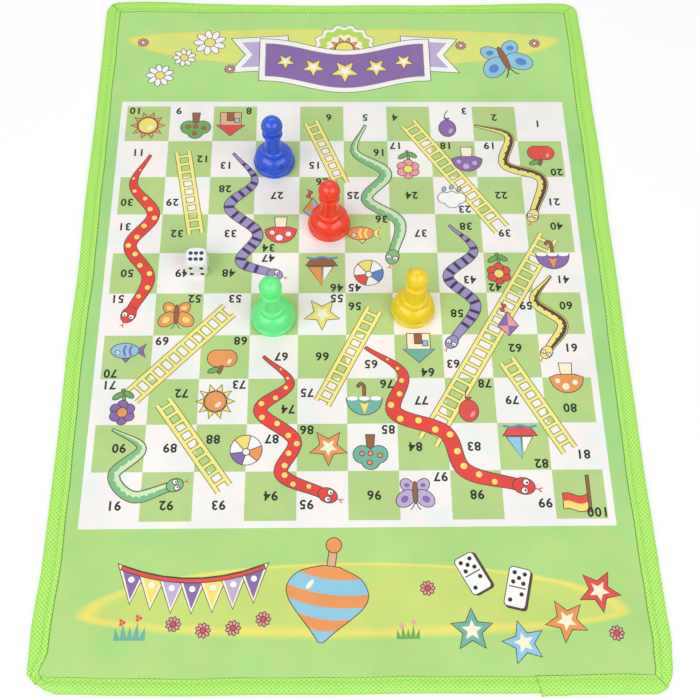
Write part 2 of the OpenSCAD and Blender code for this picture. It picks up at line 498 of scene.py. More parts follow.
@dataclass(frozen=True)
class DiePlastic:
    """White plastic of the die, with paint in its hollowed pips. Its centre is given in metres."""

    centre: Vector
    half_side: float
    painted_reach: float = 5.55
    painted_share: float = 0.75
    skin: float = 0.015
    face_depth: float = 1.0
    scuff: float = 1.4

    def material(self) -> bpy.types.Material:
        """Makes the material. A pip lies below its face and away from the round edges.

        Returns:
            The finished material.
        """
        nodes = Nodes("die_plastic")
        sockets = {0: nodes.place(), 1: self.centre}
        x, y, z = nodes.parts(nodes.node("ShaderNodeVectorMath", {"operation": "SUBTRACT"}, sockets))
        first, second, third = abs(x), abs(y), abs(z)
        widest = first.most(second).most(third)
        narrowest = first.least(second).least(third)
        middle = first + second + third - widest - narrowest
        sunk = widest < (self.half_side - self.skin) * MM
        reach = middle * middle + narrowest * narrowest
        inside = middle < self.painted_share * self.half_side * MM
        pip = sunk * (reach < (self.painted_reach * MM) ** 2) * inside
        deep_face = (self.half_side - self.face_depth) * MM
        maroon = (y < -deep_face).most(z < -deep_face)
        scuffs = nodes.noise(self.scuff, 3.0)
        plain = nodes.mix(scuffs, Ink.DIE_PLASTIC, Ink.DIE_SCUFF)
        return nodes.surface({
            "Base Color": nodes.mix(pip, plain, nodes.mix(maroon, Ink.NAVY_PAINT, Ink.MAROON_PAINT)),
            "Roughness": 0.22 + 0.12 * scuffs - 0.12 * pip,
            "IOR": 1.5,
            "Normal": nodes.bump(scuffs, 0.01),
        })


def mesh_piece(
    name: str,
    points: Sequence[Sequence[float]],
    faces: Sequence[Sequence[int]],
    material: bpy.types.Material,
    smooth: bool = True,
) -> bpy.types.Object:
    """Makes a mesh object from points in millimetres.

    Args:
        name: The piece's name.
        points: Its points.
        faces: Its faces, as numbers of points.
        material: Its material.
        smooth: Whether its faces are shaded smoothly.

    Returns:
        The object, in the scene.
    """
    mesh = bpy.data.meshes.new(name)
    mesh.from_pydata([Vector(point) * MM for point in points], [], faces)
    mesh.materials.append(material)
    mesh.polygons.foreach_set("use_smooth", [smooth] * len(mesh.polygons))
    mesh.update()
    piece = bpy.data.objects.new(name, mesh)
    bpy.context.scene.collection.objects.link(piece)
    return piece


def tube_faces(rings: int, sides: int, first: int = 0) -> Faces:
    """Gives the faces of a closed tube ring by ring, then its two ends.

    Args:
        rings: How many rings of points it has.
        sides: How many points each ring has.
        first: The number of its first point.

    Returns:
        The faces, as numbers of points.
    """
    faces = []
    for low in range(first, first + (rings - 1) * sides, sides):
        for k in range(sides):
            a, b = low + k, low + (k + 1) % sides
            faces.append((a, b, b + sides, a + sides))
    last = first + (rings - 1) * sides
    return faces + [tuple(range(first, first + sides))[::-1], tuple(range(last, last + sides))]


def polar(radius: float, angle: float) -> Vector:
    """Gives the point at a distance from the middle and at an angle in degrees."""
    return Vector((radius * math.cos(math.radians(angle)), radius * math.sin(math.radians(angle))))


def arc(centre: Point, radius: float, start: float, sweep: float, steps: int) -> list[Vector]:
    """Gives points round part of a circle, both ends among them. Angles are in degrees."""
    return [Vector(centre) + polar(radius, start + sweep * step / steps) for step in range(steps + 1)]


def round_rectangle(width: float, length: float, radius: float, steps: int = 8) -> list[Vector]:
    """Gives a rectangle about the middle with round corners, counter-clockwise.

    Args:
        width: Its size along X.
        length: Its size along Y.
        radius: The corners' radius.
        steps: Stretches in each corner.

    Returns:
        Its points.
    """
    x, y = width / 2 - radius, length / 2 - radius
    corners = enumerate(((x, y), (-x, y), (-x, -y), (x, -y)))
    return [point for turn, middle in corners for point in arc(middle, radius, 90 * turn, 90, steps)]


def smooth_path(knots: Sequence[Point], steps: int = 10) -> list[Vector]:
    """Runs a smooth curve through the knots.

    Args:
        knots: The points that it passes.
        steps: Stretches between one knot and the next.

    Returns:
        Points along the curve.
    """
    middle = [Vector(knot) for knot in knots]
    ends = [2 * middle[0] - middle[1], *middle, 2 * middle[-1] - middle[-2]]
    path = []
    for a, b, c, d in zip(ends, ends[1:], ends[2:], ends[3:]):
        for step in range(steps):
            t = step / steps
            square = (2 * a - 5 * b + 4 * c - d) * t * t
            path.append((2 * b + (c - a) * t + square + (3 * b - a - 3 * c + d) * t ** 3) / 2)
    return path + [middle[-1]]


def side_of(path: Sequence[Vector], index: int) -> Vector:
    """Gives the direction to the left of a path at one of its points."""
    ahead = path[min(index + 1, len(path) - 1)] - path[max(index - 1, 0)]
    return Vector((-ahead.y, ahead.x)).normalized()


def ribbon(path: Sequence[Vector], left: Sequence[float], right: Sequence[float]) -> list[Vector]:
    """Gives the outline of a band along a path.

    Args:
        path: Its centre line.
        left: How far it reaches to the left at each point.
        right: How far it reaches to the right at each point.

    Returns:
        The outline, counter-clockwise.
    """
    sides = [side_of(path, index) for index in range(len(path))]
    near = [point - side * reach for point, side, reach in zip(path, sides, right)]
    far = [point + side * reach for point, side, reach in zip(path, sides, left)]
    return near + far[::-1]


def strip(path: Sequence[Vector], width: float) -> list[Vector]:
    """Gives the outline of a band of one width along a path."""
    return ribbon(path, [width / 2] * len(path), [width / 2] * len(path))


def signed_area(outline: Sequence[Vector]) -> float:
    """Gives an outline's area, which is negative if it runs clockwise."""
    following = [*outline[1:], outline[0]]
    return sum(a.x * b.y - b.x * a.y for a, b in zip(outline, following)) / 2


def grown(outline: Sequence[Vector], by: float) -> list[Vector]:
    """Moves an outline's sides outwards.

    Args:
        outline: A counter-clockwise outline.
        by: How far its sides move.

    Returns:
        The larger outline.
    """
    sharpest = 0.4
    result = []
    for index, corner in enumerate(outline):
        before = (corner - outline[index - 1]).normalized()
        after = (outline[(index + 1) % len(outline)] - corner).normalized()
        first, second = Vector((before.y, -before.x)), Vector((after.y, -after.x))
        result.append(corner + (first + second) * (by / max(sharpest, 1 + first.dot(second))))
    return result


@dataclass
class Sketch:
    """A flat drawing in millimetres, as patches that lie one over another."""

    line_width: float = 0.45
    least_area: float = 0.002
    patches: list[tuple[list[Vector], Colour]] = field(default_factory=list)
    taken: list[tuple[Vector, float]] = field(default_factory=list)

    def fill(self, outline: Sequence[Vector], ink: Union[Ink, Colour], line: Optional[Ink] = None) -> None:
        """Lays a patch on the drawing.

        Args:
            outline: Its outline.
            ink: Its colour.
            line: The ink of a thin line round it, if it has one.
        """
        area = signed_area(outline)
        if abs(area) < self.least_area:
            return
        points = list(outline) if area > 0 else list(outline)[::-1]
        if line:
            self.patches.append((grown(points, self.line_width), line.value))
        self.patches.append((points, getattr(ink, "value", ink)))

    def take(self, centre: Vector, radius: float) -> None:
        """Marks a round area as taken, so that no number is put there."""
        self.taken.append((centre, radius))

    def room(self, spot: Vector) -> float:
        """Gives the distance from a spot to the nearest area that is taken."""
        return min((spot - centre).length - radius for centre, radius in self.taken)


@dataclass(frozen=True)
class Pen:
    """Draws in a small picture's own space, which reaches from about -1 to 1 each way."""

    sketch: Sketch
    at: Vector
    size: float
    turn: float

    def place(self, spot: Point) -> Vector:
        """Takes a point of the picture to the sheet."""
        return self.at + Matrix.Rotation(math.radians(self.turn), 2) @ Vector(spot) * self.size

    def shape(self, spots: Iterable[Point], ink: Ink, line: Optional[Ink] = Ink.LINE) -> None:
        """Fills a shape, with a line round it unless that is None."""
        self.sketch.fill([self.place(spot) for spot in spots], ink, line)

    def nested(self, spots: Sequence[Point], margins: Iterable[tuple[float, Ink]]) -> None:
        """Fills a counter-clockwise shape once for each margin that it is grown by."""
        for margin, ink in margins:
            self.shape(grown([Vector(spot) for spot in spots], margin), ink, None)

    def disc(
        self,
        middle: Point,
        radius: float,
        ink: Ink,
        squeeze: float = 1.0,
        lean: float = 0.0,
        line: Optional[Ink] = Ink.LINE,
    ) -> None:
        """Fills a disc or an ellipse.

        Args:
            middle: Its middle.
            radius: Its radius along its own first direction.
            ink: Its colour.
            squeeze: Its other radius, as a share of the first.
            lean: The angle of its first direction, in degrees.
            line: The ink of the line round it, if it has one.
        """
        sides = 14 if radius * self.size < 2 else 22
        turned = Matrix.Rotation(math.radians(lean), 2)
        ring = [polar(radius, 360 * side / sides) for side in range(sides)]
        self.shape([turned @ Vector((spot.x, spot.y * squeeze)) + Vector(middle) for spot in ring], ink, line)

    def stroke(self, knots: Sequence[Point], width: float, ink: Ink, line: Optional[Ink] = None) -> None:
        """Draws a smooth stroke through the knots, with a line round it if that has an ink."""
        path = smooth_path([self.place(knot) for knot in knots], 5 if len(knots) > 2 else 1)
        self.sketch.fill(strip(path, width * self.size), ink, line)


@dataclass(frozen=True)
class Motif(Pen):
    """A pen with two inks, and the small pictures that it draws with them."""

    first: Ink
    second: Ink

    def flower(self) -> None:
        """Draws a flower on a stem."""
        self.stroke([(0.05, -1.0), (-0.05, -0.4), (0, 0.1)], 0.12, Ink.LEAF, Ink.LINE)
        self.disc((0.28, -0.62), 0.32, Ink.LEAF, 0.45, 35)
        self.disc((-0.28, -0.7), 0.3, Ink.LEAF, 0.45, 145)
        for spot in arc((0, 0.35), 0.42, 90, 300, 5):
            self.disc(spot, 0.27, self.first)
        self.disc((0, 0.35), 0.26, self.second)

    def daisy(self) -> None:
        """Draws a round daisy without a stem."""
        for angle in range(0, 360, 40):
            self.disc(polar(0.6, angle), 0.38, self.first, 0.5, angle)
        self.disc((0, 0), 0.32, self.second)

    def sun(self) -> None:
        """Draws a sun with pointed rays."""
        for angle in range(0, 360, 36):
            self.shape([polar(0.66, angle - 13), polar(1, angle), polar(0.66, angle + 13)], self.second)
        self.disc((0, 0), 0.56, self.first)
        self.disc((-0.16, 0.18), 0.2, Ink.CREAM, 0.6, 45, None)

    def star(self) -> None:
        """Draws a star with five points."""
        for share, colour, line in ((1.0, self.first, Ink.LINE), (0.5, self.second, None)):
            radii = share, 0.45 * share
            self.shape([polar(radii[k % 2], 90 + 36 * k) for k in range(10)], colour, line)

    def balloon(self) -> None:
        """Draws a balloon on a string."""
        self.stroke([(0, -0.3), (0.14, -0.62), (-0.08, -1.05)], 0.06, Ink.LINE)
        self.shape([(0, -0.2), (-0.13, -0.42), (0.13, -0.42)], self.first)
        self.disc((0, 0.35), 0.62, self.first, 0.82, 90)
        self.disc((-0.2, 0.55), 0.2, self.second, 0.5, 60, None)

    def butterfly(self) -> None:
        """Draws a butterfly with spread wings."""
        for way in (-1, 1):
            self.disc((0.4 * way, -0.38), 0.4, self.first, 0.75, -50 * way)
            self.disc((0.5 * way, 0.32), 0.54, self.first, 0.72, 40 * way)
            self.disc((0.56 * way, 0.36), 0.22, self.second, 0.8, 40 * way, None)
            self.disc((0.42 * way, -0.4), 0.15, self.second, 0.8, 0, None)
            self.stroke([(0.03 * way, 0.5), (0.12 * way, 0.75), (0.26 * way, 0.92)], 0.05, Ink.LINE)
        self.disc((0, 0), 0.58, Ink.BROWN, 0.19, 90)

    def fish(self) -> None:
        """Draws a fish seen from the side."""
        self.shape([(-0.45, 0), (-1, 0.42), (-0.82, 0), (-1, -0.42)], self.second)
        self.shape([(-0.2, 0.35), (0.05, 0.68), (0.35, 0.34)], self.second)
        self.disc((0.15, 0), 0.75, self.first, 0.58)
        for x in (-0.22, 0.1):
            self.stroke([(x, 0.32), (x + 0.1, 0), (x, -0.32)], 0.13, self.second)
        self.disc((0.55, 0.12), 0.12, Ink.WHITE)
        self.disc((0.58, 0.12), 0.05, Ink.LINE, line=None)

    def apple(self) -> None:
        """Draws an apple with a leaf."""
        self.stroke([(0, 0.3), (0.04, 0.6), (0.16, 0.85)], 0.13, Ink.BROWN, Ink.LINE)
        self.shape([*arc((0.3, -0.05), 0.5, -75, 195, 10), *arc((-0.3, -0.05), 0.5, 60, 195, 10)], self.first)
        self.disc((0.45, 0.68), 0.3, Ink.LEAF, 0.45, 20)
        self.disc((-0.4, 0.14), 0.16, self.second, 0.6, 60, None)

    def mushroom(self) -> None:
        """Draws a spotted mushroom."""
        self.shape([(-0.26, 0.1), (-0.34, -0.85), (0.34, -0.85), (0.26, 0.1)], Ink.CREAM)
        self.shape([*arc((0, 0), 0.9, 0, 180, 14), (-0.5, -0.16), (0.5, -0.16)], self.first)
        for middle, radius in (((-0.45, 0.3), 0.16), ((0.08, 0.55), 0.2), ((0.5, 0.2), 0.14)):
            self.disc(middle, radius, self.second, line=None)

    def tree(self) -> None:
        """Draws a round tree with fruit."""
        self.shape([(-0.14, 0), (-0.22, -0.95), (0.22, -0.95), (0.14, 0)], Ink.BROWN)
        for line in (Ink.LINE, None):
            for middle in ((-0.42, 0.15), (0.42, 0.15), (0, 0.5)):
                self.disc(middle, 0.48, self.first, line=line)
        for middle in ((-0.5, 0.2), (0.05, 0.6), (0.45, 0.1), (0, 0.1)):
            self.disc(middle, 0.11, self.second)

    def house(self) -> None:
        """Draws a small house."""
        self.shape([(-0.62, -0.85), (0.62, -0.85), (0.62, 0.15), (-0.62, 0.15)], self.first)
        self.shape([(-0.85, 0.12), (0.85, 0.12), (0, 0.9)], self.second)
        self.shape([(-0.16, -0.85), (0.2, -0.85), (0.2, -0.25), (-0.16, -0.25)], Ink.BROWN)
        self.shape([(-0.5, -0.4), (-0.26, -0.4), (-0.26, -0.12), (-0.5, -0.12)], Ink.SKY)

    def kite(self) -> None:
        """Draws a kite with a bowed tail."""
        self.stroke([(0, -0.35), (0.3, -0.65), (0.05, -0.85), (0.35, -1.1)], 0.06, Ink.LINE)
        tips = [(0, 1.0), (-0.55, 0.4), (0, -0.45), (0.55, 0.4)]
        self.shape(tips, self.first)
        for index in (0, 2):
            self.shape([(0, 0.4), tips[index], tips[index + 1]], self.second, None)
        for spot in ((0.26, -0.62), (0.14, -0.88)):
            self.disc(spot, 0.1, Ink.RED)

    def boat(self) -> None:
        """Draws a sailing boat."""
        self.shape([(0.02, -0.25), (0.02, 0.95), (0.75, -0.25)], self.second)
        self.shape([(-0.08, -0.25), (-0.08, 0.7), (-0.6, -0.25)], Ink.WHITE)
        self.shape([(-0.85, -0.35), (0.9, -0.35), (0.6, -0.8), (-0.55, -0.8)], self.first)
        self.stroke([(-0.9, -0.9), (-0.45, -0.82), (0, -0.92), (0.45, -0.82), (0.9, -0.9)], 0.12, Ink.BLUE)

    def cloud(self) -> None:
        """Draws a cloud with rain."""
        lobes = ((-0.45, 0.2), 0.36), ((0.45, 0.18), 0.38), ((0, 0.42), 0.45), ((0, 0.1), 0.36)
        for line in (Ink.LINE, None):
            for middle, radius in lobes:
                self.disc(middle, radius, self.first, line=line)
        for spot in ((-0.45, -0.45), (0, -0.6), (0.45, -0.45)):
            self.disc(spot, 0.16, self.second, 0.55, 70)

    def umbrella(self) -> None:
        """Draws an open umbrella."""
        handle = [(0, 0.1), (0, -0.4), (0.02, -0.75), (0.2, -0.88), (0.34, -0.7)]
        self.stroke(handle, 0.12, Ink.BROWN, Ink.LINE)
        self.shape(arc((0, 0), 0.95, 0, 180, 16), self.first)
        self.shape([(0, 0.95), *arc((0, 0), 0.32, 180, -180, 4)], self.second)
        for x in (-0.63, 0, 0.63):
            self.disc((x, 0), 0.3, Ink.WHITE, 0.4, 0, None)

    def ball(self) -> None:
        """Draws a ball with coloured panels."""
        self.disc((0, 0), 0.82, Ink.WHITE)
        for step, ink in enumerate((self.first, self.second, Ink.YELLOW)):
            self.shape([*arc((0, 0), 0.82, 120 * step + 15, 60, 6), (0, 0.1)], ink)
        self.disc((0, 0.1), 0.17, Ink.WHITE)

    def flag(self) -> None:
        """Draws a waving flag on a pole."""
        self.stroke([(-0.6, -1.0), (-0.6, 0.95)], 0.12, Ink.BROWN, Ink.LINE)
        waves = [(-0.5 + 0.25 * k, 0.1 * math.sin(1.1 * k)) for k in range(6)]
        low, middle, top = ([(x, rise + y) for x, y in waves] for rise in (0.05, 0.45, 0.85))
        self.shape(low + top[::-1], self.first)
        self.shape(middle + top[::-1], self.second, None)

    def tufts(self) -> None:
        """Draws a tuft of grass with small blooms."""
        for x, height in ((-0.7, 0.45), (-0.35, 0.75), (0, 0.55), (0.35, 0.8), (0.7, 0.5)):
            self.shape([(x - 0.22, -0.3), (x + 0.22, -0.3), (x * 1.25, height)], self.first, None)
        for spot in ((-0.5, 0.75), (0.45, 1.0)):
            for middle in arc(spot, 0.12, 0, 240, 2):
                self.disc(middle, 0.1, self.second, line=None)

    def rosette(self) -> None:
        """Draws a scalloped rosette of coloured rings, with a sun in the middle."""
        scallops, depth, steps = 14, 0.06, 112
        for reach, ink in ((1.0, Ink.LINE), (0.98, Ink.WHITE), (0.86, Ink.LIME), (0.6, Ink.CREAM)):
            swell = [1 + depth * math.cos(scallops * TURN * k / steps) for k in range(steps)]
            self.shape([polar(reach * swell[k], 360 * k / steps) for k in range(steps)], ink, None)
        replace(self, size=0.5 * self.size).sun()

    def ribbon(self) -> None:
        """Draws a waving ribbon with stars on it."""
        reach, half, steps = 4.3, 1.15, 18
        tall, pace = 0.4, 0.73
        places = [reach * (2 * k / steps - 1) for k in range(steps + 1)]
        wave = [Vector((x, tall * math.cos(x * pace))) for x in places]
        rims = (0.34, Ink.LINE), (0.3, Ink.WHITE)
        tail = (3.4, -1.75), (5.6, -1.6), (5.0, -0.75), (5.6, 0.15), (3.4, 0.0)
        for way in (-1, 1):
            self.nested([(way * x, y) for x, y in tail[::way]], (*rims, (0.0, Ink.LILAC)))
        rise = Vector((0, half))
        band = [spot - rise for spot in wave] + [spot + rise for spot in wave[::-1]]
        self.nested(band, (*rims, (0.06, Ink.CREAM), (0.0, Ink.PURPLE)))
        for x, size in ((-3.2, 0.5), (-1.7, 0.6), (0, 0.75), (1.7, 0.6), (3.2, 0.5)):
            middle = self.place((x, tall * math.cos(x * pace)))
            replace(self, at=middle, size=size * self.size).star()

    def pennants(self) -> None:
        """Draws a cord of pennants that sags between its ends, for a pen of size 1."""
        count, width, sag, drop = 7, 68, 26, Vector((0, -13.5))
        hem, heart, cord = 1.1, 1.5, 1.6
        shares = [k / (4 * count) for k in range(4 * count + 1)]
        path = [Vector((width * (share - 0.5), -sag * share * (1 - share))) for share in shares]
        for index in range(count):
            low, tip, high = path[4 * index:4 * index + 5:2]
            outline = [low, tip + drop, high]
            self.shape(grown(outline, hem), self.first)
            self.shape(outline, (Ink.PURPLE, Ink.YELLOW, Ink.LILAC)[index % 3], None)
            self.disc(low.lerp(high, 0.5).lerp(outline[1], 0.3), heart, Ink.WHITE, line=None)
        self.shape(strip(path, cord), self.second)

    def top(self) -> None:
        """Draws a striped spinning top."""
        self.stroke([(0, 0.5), (0, 1.15)], 0.17, Ink.TAN, Ink.LINE)
        self.disc((0, 1.17), 0.17, self.first)
        knots = [(0.2, 0.66), (0.7, 0.46), (0.92, 0.14), (0.86, -0.16)]
        knots += [(0.6, -0.47), (0.3, -0.77), (0.05, -1.05)]
        steps, sag = 5, 0.13
        side = smooth_path(knots, steps)
        mirror = Matrix(((-1, 0), (0, 1)))
        self.shape([*side, *(mirror @ spot for spot in side[::-1])], Ink.TAN)
        shares = [1 - k / 4 for k in range(9)]
        for index in range(len(knots) - 1):
            edge = side[steps * index:steps * (index + 1) + 1]
            high, low = (
                [Vector((spot.x * s, spot.y - sag * spot.x * (1 - s * s))) for s in shares]
                for spot in (edge[0], edge[-1])
            )
            band = [*edge, *low[1:], *(mirror @ spot for spot in edge[::-1]), *high[:0:-1]]
            self.shape(band, self.second if index % 2 else self.first, None)
        self.disc((-0.42, 0.2), 0.13, Ink.CREAM, 0.4, 60, None)

    def domino(self) -> None:
        """Draws a domino with its pips and its shadow."""
        outline = round_rectangle(1.2, 2.3, 0.18, 3)
        self.shape([spot + Vector((0.12, -0.1)) for spot in outline], Ink.LINE)
        self.shape(outline, self.first)
        self.stroke([(-0.5, 0), (0.5, 0)], 0.07, Ink.LINE)
        five = (-0.3, 0.85), (0.3, 0.85), (0, 0.57), (-0.3, 0.29), (0.3, 0.29)
        for spot in (*five, (-0.3, -0.8), (0.3, -0.35)):
            self.disc(spot, 0.13, self.second, line=None)


class SnakeCoat(Enum):
    """How a snake is marked: its ink, the marks' ink, and the marks' distance in widths of the body."""

    SPOTTED = (Ink.RED_SNAKE, Ink.YELLOW, 0.95)
    BELLIED = (Ink.GREEN_SNAKE, Ink.GREEN_BELLY, 0.5)
    BANDED = (Ink.PURPLE_SNAKE, Ink.PURPLE_BAND, 0.8)
    BACKED = (Ink.YELLOW_SNAKE, Ink.DARK_BACK, 0.5)


@dataclass(frozen=True)
class Snake:
    """A printed snake, from its tail to its head."""

    coat: SnakeCoat
    width: float
    squares: tuple[Point, ...]
    tail_share: float = 0.16
    tail_reach: Point = (-0.05, 0.4)
    nape_loss: float = 0.22
    nape_reach: Point = (0.8, 1.0)

    def body_half(self, share: float) -> float:
        """Gives half the body's width at a share of its length."""
        tail = self.tail_share + (1 - self.tail_share) * smooth_step(*self.tail_reach, share)
        return self.width / 2 * tail * (1 - self.nape_loss * smooth_step(*self.nape_reach, share))

    def draw(self, sketch: Sketch, spot_of: Callable[[Point], Vector]) -> None:
        """Draws the snake.

        Args:
            sketch: The drawing.
            spot_of: Takes a place in squares to the sheet.
        """
        path = smooth_path([spot_of(square) for square in self.squares])
        half = [self.body_half(index / (len(path) - 1)) for index in range(len(path))]
        sketch.fill(ribbon(path, half, half), self.coat.value[0], Ink.LINE)
        self.mark_body(sketch, path, half)
        ahead = (path[-1] - path[-3]).normalized()
        self.draw_head(sketch, path[-1] + ahead * 0.35 * self.width, ahead)
        for index in range(0, len(path), 2):
            sketch.take(path[index], half[index])
        sketch.take(path[-1] + ahead * 0.5 * self.width, self.width)

    def mark_body(self, sketch: Sketch, path: list[Vector], half: list[float]) -> None:
        """Draws the marks along the body.

        Args:
            sketch: The drawing.
            path: The body's centre line.
            half: Half the body's width along it.
        """
        _, mark, step = self.coat.value
        spotted, gone = self.coat is SnakeCoat.SPOTTED, 0.0
        if self.coat in (SnakeCoat.BELLIED, SnakeCoat.BACKED):
            edges = ([share * reach for reach in half] for share in (0.86, -0.1))
            sketch.fill(ribbon(path, *edges), mark)
        for index in range(3, len(path) - 3):
            gone += (path[index] - path[index - 1]).length
            if gone < step * self.width:
                continue
            gone = 0.0
            across = side_of(path, index) * half[index]
            if self.coat is SnakeCoat.BANDED:
                ends = [path[index] + across * way for way in (-0.96, 0.96)]
                sketch.fill(strip(ends, 0.34 * self.width), mark)
                continue
            aside = (0.3 if index % 2 else -0.3) if spotted else 0.1
            size = half[index] * (0.46 if spotted else 0.26)
            Pen(sketch, path[index] + across * aside, size, 0.0).disc((0, 0), 1.0, mark, line=None)

    def draw_head(self, sketch: Sketch, middle: Vector, ahead: Vector) -> None:
        """Draws a plain head with two eyes and a forked tongue.

        Args:
            sketch: The drawing.
            middle: The head's middle.
            ahead: The way it looks.
        """
        pen = Pen(sketch, middle, self.width, math.degrees(math.atan2(ahead.y, ahead.x)))
        pen.stroke([(0.5, 0), (1.15, 0)], 0.09, Ink.RED)
        for way in (-1, 1):
            pen.stroke([(1.1, 0), (1.35, 0.16 * way)], 0.09, Ink.RED)
        pen.disc((0.1, 0), 0.74, self.coat.value[0], 0.76)
        for way in (-1, 1):
            pen.disc((0.2, 0.3 * way), 0.2, Ink.WHITE)
            pen.disc((0.26, 0.28 * way), 0.08, Ink.NUMBER, line=None)


@dataclass(frozen=True)
class Ladder:
    """A printed ladder between two places."""

    foot: Point
    top: Point
    width: float = 10.0
    rail: float = 1.9
    rung: float = 1.5
    rung_step: float = 5.6
    first_rung: float = 0.6

    def draw(self, sketch: Sketch, spot_of: Callable[[Point], Vector]) -> None:
        """Draws the ladder, its lines first so that rails and rungs run together.

        Args:
            sketch: The drawing.
            spot_of: Takes a place in squares to the sheet.
        """
        foot, top = spot_of(self.foot), spot_of(self.top)
        ahead = (top - foot).normalized()
        side = Vector((-ahead.y, ahead.x)) * (self.width - self.rail) / 2
        bars = [([foot - side, top - side], self.rail), ([foot + side, top + side], self.rail)]
        for step in range(int((top - foot).length / self.rung_step)):
            middle = foot + ahead * self.rung_step * (step + self.first_rung)
            bars.append(([middle - side, middle + side], self.rung))
            sketch.take(middle, self.width / 2)
        for grow, ink in ((2 * sketch.line_width, Ink.LADDER_LINE), (0.0, Ink.LADDER)):
            for path, width in bars:
                sketch.fill(strip(path, width + grow), ink)


@dataclass(frozen=True)
class Glow:
    """A long pale glow beside the squares, with a brighter rim on its flatter side."""

    middle: Point
    width: float
    bulge: float
    belly: float
    way: int
    field_ink: Ink
    ink: Ink
    bulge_step: float = 0.01
    belly_step: float = 0.075
    tip_step: float = 0.012
    steps: int = 60

    def draw(self, sketch: Sketch) -> None:
        """Draws the glow as lenses that lie one in another, the outer four as its soft rim.

        Args:
            sketch: The drawing.
        """
        rim = Ink.GLOW_RIM.value
        tints = [blended(self.field_ink.value, rim, share) for share in (0.3, 0.6, 0.85, 1.0)]
        soft = len(tints)
        tints += [blended(rim, self.ink.value, share) for share in (0.0, 0.3, 0.55, 0.8, 1.0)]
        for index, tint in enumerate(tints):
            lens = []
            for step in range(self.steps):
                x, y = polar(1, 360 * step / self.steps)
                reach = self.bulge * (1 - self.bulge_step * index)
                if y > 0:
                    reach = self.belly * (1 - self.belly_step * index)
                    reach *= 1 + (0.1 * math.sin(9 * x + 1) + 0.07 * math.sin(23 * x)) * (index >= soft)
                beside = x * self.width / 2 * (1 - self.tip_step * index)
                lens.append(Vector(self.middle) + Vector((beside, self.way * y * abs(y) ** 0.1 * reach)))
            sketch.fill(lens[::self.way], tint)


@dataclass
class Numerals:
    """Plain bold digits for the squares."""

    height: float = 4.6
    weight: float = 0.03
    digit_step: float = 0.56
    bearing: float = 0.015
    cap: float = 0.69
    glyphs: dict[str, list[list[Vector]]] = field(default_factory=dict)

    def __post_init__(self) -> None:
        """Reads the outline of each digit from Blender's own font."""
        curve = bpy.data.curves.new("digits", "FONT")
        curve.resolution_u = 3
        curve.offset = self.weight
        carrier = bpy.data.objects.new("digits", curve)
        bpy.context.scene.collection.objects.link(carrier)
        for digit in "0123456789":
            curve.body = digit
            bpy.context.view_layer.update()
            solid = carrier.evaluated_get(bpy.context.evaluated_depsgraph_get())
            mesh = solid.to_mesh()
            corners = [vertex.co.xy for vertex in mesh.vertices]
            self.glyphs[digit] = [[corners[k].copy() for k in face.vertices] for face in mesh.polygons]
            solid.to_mesh_clear()
        bpy.data.objects.remove(carrier)
        bpy.data.curves.remove(curve)

    def draw(self, sketch: Sketch, number: int, middle: Vector, turn: float) -> None:
        """Draws a number about a spot.

        Args:
            sketch: The drawing.
            number: The number.
            middle: Its middle.
            turn: Its angle, in degrees.
        """
        pen = Pen(sketch, middle, self.height / self.cap, turn)
        start = self.bearing - self.digit_step * len(str(number)) / 2
        for index, digit in enumerate(str(number)):
            shift = Vector((start + index * self.digit_step, -self.cap / 2))
            for face in self.glyphs[digit]:
                pen.shape([corner + shift for corner in face], Ink.NUMBER, None)


